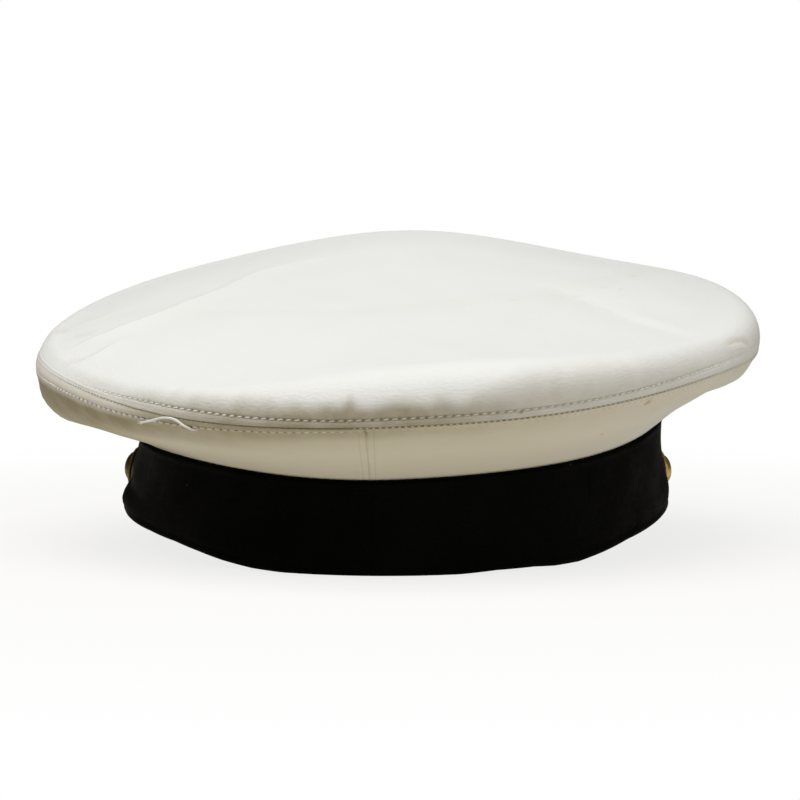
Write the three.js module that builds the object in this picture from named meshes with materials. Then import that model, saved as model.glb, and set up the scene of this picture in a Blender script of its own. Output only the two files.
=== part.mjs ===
// A white-topped peaked cap, lying on a table: a soft cotton crown on a black band, with a leather peak,
// a chin strap and two gilt buttons. Millimetres and degrees.
//
// The pieces are drawn in the cap's own upright frame: the band's lower edge lies at z = 0, +Y points to the
// wearer's front and +X to the wearer's right. The whole cap is then tipped back, because the peak reaches
// below the band and lifts the front off the table.
import * as THREE from "three";

// Driving dimensions
//   BAND   the upper edge is an oval; the lower edge spreads by flare and is shifted sideways by lean
//   REST   the backward tip on the table, and how far the band's rear edge is pressed flat
//   TOP    height of the panel's middle, its doming, and how sharply its edge turns to the rim
//   SIDE   how the side panel meets the band: set in from its face, at an angle and with a pull
//   PEAK   its rim lies on the table for restSpan degrees to each side, and ends at halfSpan degrees
//   STRAP  its middle line lies at frontHeight in front and at rightHeight and leftHeight under the buttons;
//          with its buttons it has slipped round the band by slip degrees
const BAND = { halfWidth: 92.5, halfLength: 99.5, squareness: 1.86, wall: 3, flare: 3.2, lean: -1.6 };
const CLOTH = 1.6;
const GAP = 0.3;
const REST = { tilt: 8, settle: 1 };
const TOP = { height: 70, dome: 1.5, edgeTurn: 3, foldTurn: 6 };
const SIDE = { inset: 0.7, arrival: 32, arrivalPull: 0.35 };
const PEAK = { thickness: 2.6, halfSpan: 62, restSpan: 24, arch: 3, rim: 1.8 };
const PEAK_REACH = { middle: 40, ends: 1.5, taper: 3 };
const STRAP = { width: 13, thickness: 1.2, endReach: 8, endWidth: 5 };
const STRAP_LINE = { frontHeight: 8.7, rightHeight: 6.5, leftHeight: 9.6, levelShare: 0.35, slip: 4.4 };
const BUTTON = { diameter: 14, height: 4, rim: 0.9, angle: 101.9 };

// Crown sections, one row for every 30 degrees from the back towards the wearer's right.
//   overhang    reach of the rim beyond the band's face
//   rimHeight   height of the rim's widest line
//   roll        radius of the padded rim
//   seamDrop    how far the edge seam lies below the widest line
//   belly       how full the side panel hangs under the seam
//   bandHeight  height of the band's upper edge
const CROWN_SECTIONS = [
  { place: "back", overhang: 37, rimHeight: 57.8, roll: 15, seamDrop: 0.6, belly: 0.12, bandHeight: 31.5 },
  { place: "30", overhang: 36.5, rimHeight: 60.3, roll: 13.5, seamDrop: 2, belly: 0.1, bandHeight: 31.7 },
  { place: "60", overhang: 33, rimHeight: 60.5, roll: 9, seamDrop: 1.4, belly: 0.12, bandHeight: 31.6 },
  { place: "right", overhang: 33, rimHeight: 60.4, roll: 8.7, seamDrop: 3.6, belly: 0.2, bandHeight: 33.3 },
  { place: "120", overhang: 34, rimHeight: 62.8, roll: 9, seamDrop: 6.5, belly: 0.4, bandHeight: 32.8 },
  { place: "150", overhang: 32.5, rimHeight: 63.7, roll: 9, seamDrop: 6.5, belly: 0.45, bandHeight: 32.1 },
  { place: "front", overhang: 33.5, rimHeight: 69, roll: 9, seamDrop: 5, belly: 0.42, bandHeight: 32 },
  { place: "210", overhang: 33, rimHeight: 65, roll: 9, seamDrop: 3.5, belly: 0.6, bandHeight: 31 },
  { place: "240", overhang: 33, rimHeight: 59, roll: 9, seamDrop: 0, belly: 0.9, bandHeight: 29.3 },
  { place: "left", overhang: 34, rimHeight: 54, roll: 8.3, seamDrop: -2, belly: 1.5, bandHeight: 27.3 },
  { place: "300", overhang: 35.5, rimHeight: 54.2, roll: 7.3, seamDrop: -3.9, belly: 1.2, bandHeight: 29.8 },
  { place: "330", overhang: 37, rimHeight: 54.8, roll: 9.5, seamDrop: -1.4, belly: 0.5, bandHeight: 31.3 },
];

// Folds of the top panel: each runs from one plan point to another and rises, or sinks, over its width.
// It fades in and out over a share of its length at each end.
const FOLD_FADE = 0.4;
const TOP_FOLDS = [
  { name: "left front ridge", from: [-108, -28], to: [-36, 95], rise: 2, width: 18 },
  { name: "left back ridge", from: [-108, -66], to: [-80, -14], rise: 1.2, width: 14 },
  { name: "right hollow", from: [50, 42], to: [112, -60], rise: -1.4, width: 20 },
];

// Mesh steps
const AROUND = 60;
const SIDE_STEPS = 7;
const ROLL_STEPS = 5;
const TOP_STEPS = 8;
const PEAK_STEPS = { across: 32, out: 4 };
const STRAP_STEPS = { along: 44, up: 2 };
const BUTTON_STEPS = { around: 24, dome: 6 };

const MATERIALS = {
  cotton: new THREE.MeshStandardMaterial({ color: 0xebebe5, roughness: 0.95, metalness: 0 }),
  ribbon: new THREE.MeshStandardMaterial({ color: 0x0b0b0c, roughness: 0.85, metalness: 0 }),
  leather: new THREE.MeshStandardMaterial({ color: 0x0d0d0e, roughness: 0.22, metalness: 0 }),
  gilt: new THREE.MeshStandardMaterial({ color: 0xb8902f, roughness: 0.3, metalness: 1 }),
};

const radians = THREE.MathUtils.degToRad;
const lerp = THREE.MathUtils.lerp;
const smooth = THREE.MathUtils.smoothstep;

// Steps from 0 to 1, both included.
const shares = (steps) => Array.from({ length: steps + 1 }, (_, i) => i / steps);

// Angles round the cap, from the back towards the wearer's right.
const ANGLES = Array.from({ length: AROUND }, (_, i) => (i * 2 * Math.PI) / AROUND);

// The value of one column of the crown sections at an angle, on a smooth closed curve through its rows.
function section(column, angle) {
  const rows = CROWN_SECTIONS.length;
  return CROWN_SECTIONS.reduce((sum, row, i) => {
    const x = angle - (i * 2 * Math.PI) / rows;
    const away = Math.tan(x / 2);
    const weight = Math.abs(away) < 1e-9 ? 1 : Math.sin((rows * x) / 2) / (rows * away);
    return sum + weight * row[column];
  }, 0);
}

// Plan of the band's upper edge at an angle: a rounded oval, and its outward direction.
function bandPlan(angle) {
  const { halfWidth, halfLength, squareness } = BAND;
  const power = (v, e) => Math.sign(v) * Math.abs(v) ** e;
  const [s, c] = [Math.sin(angle), Math.cos(angle)];
  const at = new THREE.Vector2(halfWidth * power(s, 2 / squareness), -halfLength * power(c, 2 / squareness));
  const e = 2 - 2 / squareness;
  const out = new THREE.Vector2(power(s, e) / halfWidth, -power(c, e) / halfLength).normalize();
  return { at, out };
}

// A point at an angle: so far beyond the band's upper edge, and so high.
function outward(angle, reach, height) {
  const { at, out } = bandPlan(angle);
  return new THREE.Vector3(at.x + out.x * reach, at.y + out.y * reach, height);
}

// A point so far off the band's face, which spreads and leans towards its lower edge.
function offBand(angle, reach, height) {
  const spread = 1 - height / section("bandHeight", angle);
  const point = outward(angle, reach + BAND.flare * spread, height);
  return point.setX(point.x + BAND.lean * spread);
}

// Height of the table under the tipped cap, in the cap's own frame, and a point kept from sinking below it.
const rear = BAND.halfLength + BAND.flare;
const tableHeight = (y) => REST.settle - (y + rear) * Math.tan(radians(REST.tilt));
const onTable = (p) => p.setZ(Math.max(p.z, tableHeight(p.y)));

// Rows of points on a surface, each with the direction square to it. The surface is a function of the way
// along a row and of the way up from row to row.
function rowsOf(surface, alongs, ups) {
  const step = 1e-3;
  return ups.map((up) =>
    alongs.map((along) => {
      const side = surface(along + step, up).sub(surface(along - step, up));
      const rise = surface(along, up + step).sub(surface(along, up - step));
      return { at: surface(along, up), out: side.cross(rise).normalize() };
    }),
  );
}

const faceOf = (rows) => rows.map((row) => row.map((p) => onTable(p.at.clone())));
const backOf = (rows, thickness) =>
  rows.map((row) => row.map((p) => onTable(p.at.clone().addScaledVector(p.out, -thickness))));

// Triangles between neighbouring rows of points. A closed row joins its last point to its first.
function skin(rows, closed) {
  const triangles = [];
  for (let r = 0; r + 1 < rows.length; r += 1) {
    const [low, high] = [rows[r], rows[r + 1]];
    const last = closed ? low.length : low.length - 1;
    for (let i = 0; i < last; i += 1) {
      const j = (i + 1) % low.length;
      triangles.push(low[i], low[j], high[j], low[i], high[j], high[i]);
    }
  }
  return triangles;
}

const turnedOver = (triangles) => triangles.slice().reverse();

function meshOf(name, triangles, material) {
  const geometry = new THREE.BufferGeometry();
  const positions = triangles.flatMap((corner) => corner.toArray());
  geometry.setAttribute("position", new THREE.Float32BufferAttribute(positions, 3));
  geometry.computeVertexNormals();
  const mesh = new THREE.Mesh(geometry, material);
  mesh.name = name;
  return mesh;
}

// A cloth or leather wall: its face, a back set in by its thickness, and the edges that join them.
function wall(rows, thickness, closed) {
  const [face, back] = [faceOf(rows), backOf(rows, thickness)];
  const last = rows.length - 1;
  const triangles = [...skin(face, closed), ...turnedOver(skin(back, closed))];
  triangles.push(...skin([back[0], face[0]], closed), ...skin([face[last], back[last]], closed));
  if (!closed) {
    const column = (points, i) => points.map((row) => row[i]);
    const far = face[0].length - 1;
    triangles.push(...turnedOver(skin([column(back, 0), column(face, 0)], false)));
    triangles.push(...skin([column(back, far), column(face, far)], false));
  }
  return triangles;
}

// The seam's turn round the padded rim, below its widest line.
const seamTurn = (angle) => Math.asin(section("seamDrop", angle) / section("roll", angle));

// Half of the seam's gap, as a turn round the padded rim.
const seamGap = (angle) => GAP / 2 / section("roll", angle);

// The padded rim, rolled from the seam up to the flat of the top panel.
function rimPoint(angle, up) {
  const roll = section("roll", angle);
  const turn = lerp(seamTurn(angle) - seamGap(angle), -Math.PI / 2, up);
  const reach = section("overhang", angle) - roll * (1 - Math.cos(turn));
  return outward(angle, reach, section("rimHeight", angle) - roll * Math.sin(turn));
}

function foldRise(x, y) {
  return TOP_FOLDS.reduce((sum, fold) => {
    const from = new THREE.Vector2(...fold.from);
    const line = new THREE.Vector2(...fold.to).sub(from);
    const point = new THREE.Vector2(x, y).sub(from);
    const along = point.dot(line) / line.lengthSq();
    const across = point.cross(line) / line.length() / (fold.width / 2);
    const ends = smooth(along, 0, FOLD_FADE) * (1 - smooth(along, 1 - FOLD_FADE, 1));
    return sum + fold.rise * ends * Math.exp(-across * across);
  }, 0);
}

// The top panel inside the rim: flat in the middle, and drawn up or down to the rim at its edge.
function topPoint(angle, up) {
  const edge = rimPoint(angle, 1);
  const share = 1 - up;
  const [x, y] = [edge.x * share, edge.y * share];
  const lift = (edge.z - TOP.height) * share ** TOP.edgeTurn + TOP.dome * (1 - share * share);
  return new THREE.Vector3(x, y, TOP.height + lift + foldRise(x, y) * (1 - share ** TOP.foldTurn));
}

function crownTop() {
  const rim = rowsOf(rimPoint, ANGLES, shares(ROLL_STEPS));
  const panel = rowsOf(topPoint, ANGLES, shares(TOP_STEPS).slice(1, -1));
  const [face, back] = [faceOf([...rim, ...panel]), backOf([...rim, ...panel], CLOTH)];
  const centre = topPoint(0, 1);
  const underCentre = centre.clone().setZ(centre.z - CLOTH);
  const fan = (row, apex) => row.flatMap((p, i) => [p, row[(i + 1) % row.length], apex]);
  const triangles = [...skin(face, true), ...fan(face.at(-1), centre)];
  triangles.push(...turnedOver([...skin(back, true), ...fan(back.at(-1), underCentre)]));
  triangles.push(...skin([back[0], face[0]], true));
  return meshOf("crown_top", triangles, MATERIALS.cotton);
}

// The side panel, from the band's upper edge out to the seam.
function sidePoint(angle, up) {
  const roll = section("roll", angle);
  const turn = seamTurn(angle) + seamGap(angle);
  const seam = new THREE.Vector2(
    section("overhang", angle) - roll * (1 - Math.cos(turn)),
    section("rimHeight", angle) - roll * Math.sin(turn),
  );
  const foot = new THREE.Vector2(-SIDE.inset, section("bandHeight", angle) + GAP);
  const span = seam.distanceTo(foot);
  const arrival = radians(SIDE.arrival);
  const hang = new THREE.Vector2(-Math.sin(turn), -Math.cos(turn));
  const tuck = new THREE.Vector2(-Math.cos(arrival), -Math.sin(arrival));
  hang.multiplyScalar(section("belly", angle) * span);
  tuck.multiplyScalar(SIDE.arrivalPull * span);
  const [t, t2, t3] = [1 - up, (1 - up) ** 2, (1 - up) ** 3];
  const at = seam.multiplyScalar(2 * t3 - 3 * t2 + 1).addScaledVector(hang, t3 - 2 * t2 + t);
  at.addScaledVector(foot, 3 * t2 - 2 * t3).addScaledVector(tuck, t3 - t2);
  return outward(angle, at.x, at.y);
}

function crownSide() {
  const rows = rowsOf(sidePoint, ANGLES, shares(SIDE_STEPS));
  return meshOf("crown_side", wall(rows, CLOTH, true), MATERIALS.cotton);
}

// The band's lower edge is pressed flat where it lies on the table.
function band() {
  const lower = (reach) => ANGLES.map((angle) => onTable(offBand(angle, reach, 0)));
  const upper = (reach) => ANGLES.map((angle) => offBand(angle, reach, section("bandHeight", angle)));
  const rows = [lower(-BAND.wall), lower(0), upper(0), upper(-BAND.wall)];
  return meshOf("band", skin([...rows, rows[0]], true), MATERIALS.ribbon);
}

// The peak hangs from the band's lower edge. Its rim lies on the table in the middle and rises to both ends.
function peakPoint(along, out) {
  const side = 1 - 2 * along;
  const angle = Math.PI + radians(side * PEAK.halfSpan);
  const ends = Math.abs(side) ** PEAK_REACH.taper;
  const inner = offBand(angle, -BAND.wall / 2, 0).setZ(-GAP);
  const outer = offBand(angle, lerp(PEAK_REACH.middle, PEAK_REACH.ends, ends), 0);
  const level = tableHeight(outer.y) + PEAK.rim;
  const rise = smooth(Math.abs(side), PEAK.restSpan / PEAK.halfSpan, 1);
  outer.setZ(lerp(level, inner.z - PEAK.thickness, rise));
  const arch = PEAK.arch * 4 * out * (1 - out) * (1 - ends);
  return inner.lerp(outer, out).add(new THREE.Vector3(0, 0, arch));
}

function peak() {
  const rows = rowsOf(peakPoint, shares(PEAK_STEPS.across), shares(PEAK_STEPS.out));
  return meshOf("peak", wall(rows, PEAK.thickness, false), MATERIALS.leather);
}

// The strap lies against the band's face, from button to button round the front, with rounded ends.
function strapPoint(along, up) {
  const halfTurn = radians(180 - BUTTON.angle) + STRAP.endReach / BAND.halfWidth;
  const side = 2 * along - 1;
  const fromEnd = (1 - Math.abs(side)) * halfTurn * BAND.halfWidth;
  const rounding = THREE.MathUtils.clamp(fromEnd / (STRAP.width / 2), 0, 1);
  const width = lerp(STRAP.endWidth, STRAP.width, Math.sqrt(rounding * (2 - rounding)));
  const rise = smooth(Math.abs(side), STRAP_LINE.levelShare, 1);
  const endHeight = side > 0 ? STRAP_LINE.leftHeight : STRAP_LINE.rightHeight;
  const height = lerp(STRAP_LINE.frontHeight, endHeight, rise);
  const angle = Math.PI + radians(STRAP_LINE.slip) + side * halfTurn;
  return offBand(angle, GAP + STRAP.thickness, height + width * (up - 0.5));
}

function chinStrap() {
  const rows = rowsOf(strapPoint, shares(STRAP_STEPS.along), shares(STRAP_STEPS.up));
  return meshOf("chin_strap", wall(rows, STRAP.thickness, false), MATERIALS.leather);
}

// A domed button with a rolled rim, its flat back on the strap.
function button(name, angle, height) {
  const radius = BUTTON.diameter / 2;
  const inner = radius - BUTTON.rim;
  const rise = BUTTON.height - BUTTON.rim;
  const profile = [new THREE.Vector2(0, 0), new THREE.Vector2(radius - BUTTON.rim / 2, 0)];
  profile.push(new THREE.Vector2(radius, BUTTON.rim / 2));
  profile.push(new THREE.Vector2(radius - BUTTON.rim / 2, BUTTON.rim));
  for (const f of shares(BUTTON_STEPS.dome).slice(0, -1)) {
    const turn = (f * Math.PI) / 2;
    profile.push(new THREE.Vector2(inner * Math.cos(turn), BUTTON.rim + rise * Math.sin(turn)));
  }
  profile.push(new THREE.Vector2(0, BUTTON.height));
  const mesh = new THREE.Mesh(new THREE.LatheGeometry(profile, BUTTON_STEPS.around), MATERIALS.gilt);
  mesh.name = name;
  const onStrap = (turn, up) => offBand(turn, STRAP.thickness + 2 * GAP, up);
  const [[seat]] = rowsOf(onStrap, [angle], [height]);
  mesh.position.copy(seat.at);
  mesh.quaternion.setFromUnitVectors(new THREE.Vector3(0, 1, 0), seat.out);
  return mesh;
}

const cap = new THREE.Group();
cap.add(crownTop(), crownSide(), band(), peak(), chinStrap());
cap.add(button("button_right", radians(STRAP_LINE.slip + BUTTON.angle), STRAP_LINE.rightHeight));
cap.add(button("button_left", radians(STRAP_LINE.slip - BUTTON.angle), STRAP_LINE.leftHeight));

// Tipped back onto the table, and centred over it.
cap.rotation.x = radians(REST.tilt);
cap.updateMatrixWorld(true);
const box = new THREE.Box3().setFromObject(cap, true);
const middle = box.getCenter(new THREE.Vector3());
cap.position.set(-middle.x, -middle.y, -box.min.z);

const part = new THREE.Group();
part.add(cap);
export default part;
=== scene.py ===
"""A white-topped peaked cap lying on a pale table, seen from behind.

The cap is drawn in its own upright frame, in millimetres: the band's lower edge lies at z = 0, +Y points to
the wearer's front and +X to the wearer's right. It is then tipped back onto the table and turned into
metres. Angles go round the cap from the back towards the wearer's right.
"""
import math

import bpy
import numpy as np
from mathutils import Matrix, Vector


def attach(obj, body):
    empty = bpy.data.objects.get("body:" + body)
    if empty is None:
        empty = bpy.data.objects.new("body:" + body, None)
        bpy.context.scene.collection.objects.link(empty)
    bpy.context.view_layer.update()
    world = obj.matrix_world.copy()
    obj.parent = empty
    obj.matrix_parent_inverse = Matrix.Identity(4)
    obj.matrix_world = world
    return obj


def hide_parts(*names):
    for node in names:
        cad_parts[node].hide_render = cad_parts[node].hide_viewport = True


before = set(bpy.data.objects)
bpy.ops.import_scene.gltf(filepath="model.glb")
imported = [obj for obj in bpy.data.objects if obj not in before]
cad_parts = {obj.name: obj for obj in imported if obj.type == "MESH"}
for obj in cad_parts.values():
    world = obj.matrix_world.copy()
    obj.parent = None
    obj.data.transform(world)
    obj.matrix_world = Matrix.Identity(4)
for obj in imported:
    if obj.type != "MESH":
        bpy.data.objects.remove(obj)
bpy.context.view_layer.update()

# Sizes of the cap, as in the CAD
BAND = {"half_width": 92.5, "half_length": 99.5, "squareness": 1.86, "wall": 3.0, "flare": 3.2, "lean": -1.6}
REST = {"tilt": math.radians(8), "settle": 1.0, "shift": (0.48, -2.485, 13.303)}
TOP = {"height": 70.0, "dome": 1.5, "edge_turn": 3, "fold_turn": 6}
SIDE = {"inset": 0.7, "arrival": math.radians(32), "pull": 0.35, "clear": 0.3}
PEAK = {"thickness": 2.6, "half_span": math.radians(62), "rest_span": math.radians(24), "arch": 3.0,
        "rim": 1.8}
PEAK_REACH = {"middle": 40.0, "ends": 1.5, "taper": 3}
STRAP = {"width": 13.0, "thickness": 1.2, "end_reach": 8.0, "end_width": 5.0, "clear": 0.3}
STRAP_LINE = {"front": 8.7, "right": 6.5, "left": 9.6, "level": 0.35}
BUTTONS = {"angle": math.radians(101.9), "slip": math.radians(4.4)}
CLOTH = 1.6

# Crown sections, one value for every 30 degrees
CROWN = {
    "overhang": (37, 36.5, 33, 33, 34, 32.5, 33.5, 33, 33, 34, 35.5, 37),
    "rim_height": (57.8, 60.3, 60.5, 60.4, 62.8, 63.7, 69, 65, 59, 54, 54.2, 54.8),
    "roll": (15, 13.5, 9, 8.7, 9, 9, 9, 9, 9, 8.3, 7.3, 9.5),
    "seam_drop": (0.6, 2, 1.4, 3.6, 6.5, 6.5, 5, 3.5, 0, -2, -3.9, -1.4),
    "belly": (0.12, 0.1, 0.12, 0.2, 0.4, 0.45, 0.42, 0.6, 0.9, 1.5, 1.2, 0.5),
    "band_height": (31.5, 31.7, 31.6, 33.3, 32.8, 32.1, 32, 31, 29.3, 27.3, 29.8, 31.3),
}

# Points round a ring of the crown and of the band, and the turned-in lip of a cloth edge
ROUND = {"crown": 1280, "band": 960}
LIP = 0.42
LIP_TURNS = np.radians((18, 40, 62, 84, 105))

# Creases of the top panel: plan points, rise, how far the fold spreads to its left and to its right, and how
# plainly a line of dirt and painted crease shade marks it
CREASES = (
    {"name": "left long crease", "rise": 1.9, "left": 15, "right": 6, "mark": 0.17,
     "line": ((-114, -44), (-109, -36), (-105, -30), (-100, -26), (-93, -17), (-86, -8), (-82, -2),
              (-74, 14), (-67, 32), (-58, 63), (-46, 80), (-28, 93))},
    {"name": "left back crease", "rise": 1.0, "left": 8, "right": 3, "mark": 0.2,
     "line": ((-107, -64), (-102, -58), (-98, -53), (-94, -45), (-90, -36))},
    {"name": "left edge crease", "rise": 0.8, "left": 6, "right": 3, "mark": 0.15,
     "line": ((-117, -2), (-113, 4), (-107, 7), (-101, 16))},
    {"name": "right hollow", "rise": -1.6, "left": 8, "right": 8, "mark": 0.04,
     "line": ((50, 42), (57, 29), (74, -1), (79, -14), (84, -23), (90, -30), (96, -41), (101, -51),
              (107, -60))},
    {"name": "right ridge", "rise": 0.9, "left": 4, "right": 5, "mark": 0,
     "line": ((76, 6), (84, -12), (91, -22), (99, -34), (107, -44))},
    {"name": "right far hollow", "rise": -0.7, "left": 9, "right": 9, "mark": 0,
     "line": ((70, 94), (76, 82), (85, 62), (93, 46), (103, 20), (111, 5), (119, -10))},
)
SLACK = {"broad": 0.16, "fine": 0.12}

# How far a crease's line runs on past its ends, and the distance given to cloth with no crease near
RUN_ON = 60
NO_FOLD_NEAR = 10.0

# Dents of the rim above the back stitches: angle in degrees, depth, and half width round the rim
RIM_DENTS = ((-30, 0.2, 2.4), (-18, 0.15, 3.0), (-10.2, 0.1, 3.0), (-1.6, 0.45, 1.9), (5.7, 0.15, 3.2),
             (11.0, 0.35, 3.2))

# A tuck in the rim at the right: angles in degrees and ways above the edge seam
RIM_TUCK = ((70.2, 8.5), (73.0, 8.4), (76.0, 7.4), (78.2, 5.3), (78.5, 2.9))

# The padded rim against a plain roll, by angle in degrees: how far its shoulder is filled out and its lower
# face is cut back to a slope, as shares of the roll, how far the seamed edge and the fold under it stand out,
# how far the side panel sags lower down and is drawn in above the band, and how plainly the cloth gathers
RIM_SHAPE = {
    "angle": (-180, -120, -105, -95, -85, -72, -58, -42, -30, -18, 0, 12, 28, 45, 60, 80, 95, 115, 140, 180),
    "full": (0.02, 0.02, 0.06, 0.07, 0.04, 0, 0, 0, 0.06, 0.11, 0.11, 0.13, 0.17, 0.11, 0.03, 0.03, 0.03,
             0.03, 0.02, 0.02),
    "cut": (0, 0, 0, 0, 0.03, 0.08, 0.12, 0.12, 0.1, 0.06, 0.02, 0, 0, 0.03, 0.12, 0.06, 0, 0, 0, 0),
    "stand": (0, 0, 0, 0, 0, 0, 0, 0, 0, 0, 0, 0, 0, 0, 0, 0.4, 0.6, 0.4, 0, 0),
    "fold": (0, 0, 0, -0.9, -1.5, -1.5, -0.6, 0, 0, 0, 0, 0, 0, 0.3, 1.2, 2.8, 3.2, 2.0, 0.4, 0),
    "sag": (0, 0, 0, 0.4, 0.9, 1.2, 0.1, -0.5, -0.1, 0, 0, 0, 0, 0, 0, 0, 0, 0, 0, 0),
    "hollow": (0, 0.2, 0.3, 0.3, 0.3, 0.4, 0.8, 0.5, 0.1, 0, 0, 0, 0, 0.2, 0.8, 1.0, 1.0, 0.5, 0.1, 0),
    "gather": (0.2, 0.2, 0.2, 0.2, 0.3, 0.7, 1, 1, 0.9, 0.5, 0.15, 0.25, 0.6, 0.3, 0.15, 0.2, 0.2, 0.2,
               0.2, 0.2),
}

# How far the rim's cloth rises and sinks at its stitch row: the strip under the row, the row itself, the
# swell, gathers and wrinkles above it, the crease along the strip, and the tuck
RIM_CLOTH = {"strip": 0.3, "row": 0.36, "swell": 0.3, "gathers": 0.3, "wrinkles": 0.24, "crease": 0.35,
             "tuck": 0.48}

# The same for the side panel: the strip above the lower row, the row where it is faint and where it is
# plain, the seam allowance, the back seam with its own allowance and its rows, the gathers, and the slack
SIDE_CLOTH = {"strip": 0.26, "row": 0.08, "plain_row": 0.22, "allowance": 0.12, "back_seam": 0.5,
              "back_allowance": 0.16, "back_row": 0.1, "gathers": 0.14, "slack": 0.3}

# The side panel by angle in degrees: how dark the edge seam is, how plainly the stitch row below it shows,
# how much dirt and painted shade the panel has, how much darker it is close under the seam, partly dirt and
# partly painted shadow under the rim, and how yellow it is, partly ageing and partly painted warm shade
SEAM_LOOK = {
    "angle": (-180, -100, -78, -62, -45, -30, -12, 0, 25, 45, 60, 75, 110, 180),
    "dark": (0.2, 0.2, 0.2, 0.3, 0.42, 0.55, 0.6, 0.7, 0.75, 0.55, 0.3, 0.12, 0.15, 0.2),
    "lower_row": (0.3, 0.1, 0.25, 0.8, 1, 1, 0.75, 0.12, 0.2, 0.3, 0.25, 0.2, 0.2, 0.3),
    "grime": (0.15, 0.5, 0.8, 0.88, 0.8, 0.52, 0.22, 0.12, 0.06, 0.04, 0.04, 0.06, 0.1, 0.15),
    "under": (0, 0, 0, 0, 0.1, 0.15, 0.35, 0.38, 0.08, 0, 0, 0, 0, 0),
    "yellowed_warm_shade": (0.45, 0.9, 1, 1, 1, 1, 1, 1, 1, 0.65, 0.25, 0.1, 0.2, 0.45),
}

# Distance of the upper and the lower stitch row from the edge seam, by angle in degrees, and how plainly the
# upper row shows
TOP_ROW = {
    "angle": (-180, -115, -95, -60, -49, -43, -34, -24, -17, -4, 8, 50, 60, 70, 100, 120, 180),
    "above": (2.7, 2.4, 2.2, 2.0, 1.9, 2.6, 3.4, 3.2, 2.8, 2.3, 2.6, 2.8, 2.8, 2.8, 2.8, 2.75, 2.7),
    "shown": (1, 1, 0.3, 0.2, 0.25, 0.9, 1, 1, 1, 1, 1, 1, 0.9, 0.25, 0.25, 1, 1),
}
LOW_ROW = {
    "angle": (-180, -100, -70, -45, -30, -18, 0, 180),
    "below": (2.0, 2.4, 3.2, 3.0, 2.3, 1.8, 1.9, 2.0),
}

# Stitches of each row: pitch, length, radius of the thread, and how far each lies aslant
STITCHES = {
    "upper": {"pitch": 2.8, "length": 1.65, "radius": 0.31, "slant": 0.14},
    "ties": {"pitch": 2.0, "length": 0.85, "radius": 0.36, "slant": 0.0},
    "lower": {"pitch": 2.8, "length": 1.6, "radius": 0.4, "slant": 0.1},
}
BACK_ROW = {"aside": 2.7, "pitch": 1.1}

# The back seam's angle in degrees, by the way down the side panel
BACK_SEAM = {"down": (0, 0.18, 0.42, 0.7, 1), "angle": (0.62, 0.75, 0.38, -0.2, -1.0)}

# The loose end of thread: angle in degrees, way below the edge seam, and height off the cloth
LOOSE_THREAD = ((-24.8, 3.35, -0.4), (-25.5, 2.9, 0.3), (-26.2, 1.8, 0.6), (-27.4, 0.5, 0.7),
                (-28.7, 0.1, 0.7), (-30.4, 0.5, 0.7), (-32.7, 2.0, 0.8), (-34.2, 3.0, 0.9))

# Fibres of its frayed tip: how far each turns aside and up, and how long it is
FRAYED = ((-0.35, 0.1, 2.2), (-0.12, 0.3, 2.6), (0.15, -0.05, 2.4), (0.38, 0.2, 1.9), (0.02, 0.5, 1.6))

# Handling dirt along the edge seam, together with painted shade of the rim above it, by angle in degrees: how
# much there is, how far up the rim it reaches, and how softly it ends there; where it reaches far and softly,
# it is mostly painted shade
GRIME_AND_SHADE = {
    "angle": (-180, -110, -62, -42, -30, -18, -5, 8, 15, 23, 34, 60, 110, 180),
    "amount": (0.1, 0.1, 0.05, 0.3, 0.58, 0.78, 0.85, 0.83, 0.68, 0.49, 0.38, 0.22, 0.14, 0.1),
    "reach": (6.4, 6.4, 6.4, 6.6, 6.8, 6.8, 6.4, 6.4, 6.0, 10.5, 11, 10, 6.4, 6.4),
    "soft": (2.4, 2.4, 2.4, 4, 5.5, 5.2, 2.4, 2.2, 2.6, 8, 8, 6, 2.4, 2.4),
}

# Faint stain across the top panel, in plan points
STAIN_LINE = ((-90, 0), (-64, -11), (-42, -15), (-21, -19), (5, -6), (33, 14), (40, 8), (51, 23))

# Spots: plan points of the top panel and radius, then angle in degrees, way above the edge seam and radius
TOP_SPOTS = ((62, 25, 3.2), (71, 36, 2.6), (77, 33, 1.8), (81, 62, 3.0), (-119, -4, 6.0), (-108, -20, 7.0),
             (-104, -57, 6.0), (40, 8, 2.0), (-98, 54, 1.6))
RIM_RUST = ((22.5, 2.3, 1.3),)
SIDE_RUST = ((45.5, -4.3, 2.4), (43.0, -24.0, 1.2))

# Lower edge of the band, lifted or sunk from a level line, by angle in degrees
BAND_FOOT = {
    "angle": (-180, -95, -82, -70, -57, -47, -40, -33, -26, 27, 35, 40, 46, 53, 61, 72, 180),
    "lift": (0, 0, 0, 1.1, 2.4, 2.6, 1.8, 0.7, 0, 0, -0.8, -1.9, -2.4, -1.6, -0.4, -0.2, 0),
}

# Soft dents and creases of the band: angle in degrees, height, rise, half width in degrees and half height
BAND_DENTS = (
    {"name": "left bulge", "angle": -84, "up": 4.7, "rise": 1.8, "half_width": 16, "half_height": 3.2},
    {"name": "left nip", "angle": -84, "up": 10.5, "rise": -0.8, "half_width": 14, "half_height": 2.6},
    {"name": "left neck", "angle": -84, "up": 24, "rise": -1.1, "half_width": 20, "half_height": 9},
    {"name": "right neck", "angle": 94, "up": 22, "rise": -1.3, "half_width": 16, "half_height": 9},
    {"name": "right bulge", "angle": 92, "up": 7, "rise": 0.9, "half_width": 16, "half_height": 5},
    {"name": "back joint", "angle": 0, "up": 16, "rise": -0.3, "half_width": 0.22, "half_height": 22},
    {"name": "lower crease", "angle": 11.8, "up": 6, "rise": -0.25, "half_width": 0.3, "half_height": 8},
    {"name": "upper crease", "angle": 48.7, "up": 22, "rise": -0.25, "half_width": 0.3, "half_height": 6},
)
BAND_EDGE = {"radius": 0.8, "turns": np.radians((80, 55, 30, 8))}

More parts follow.
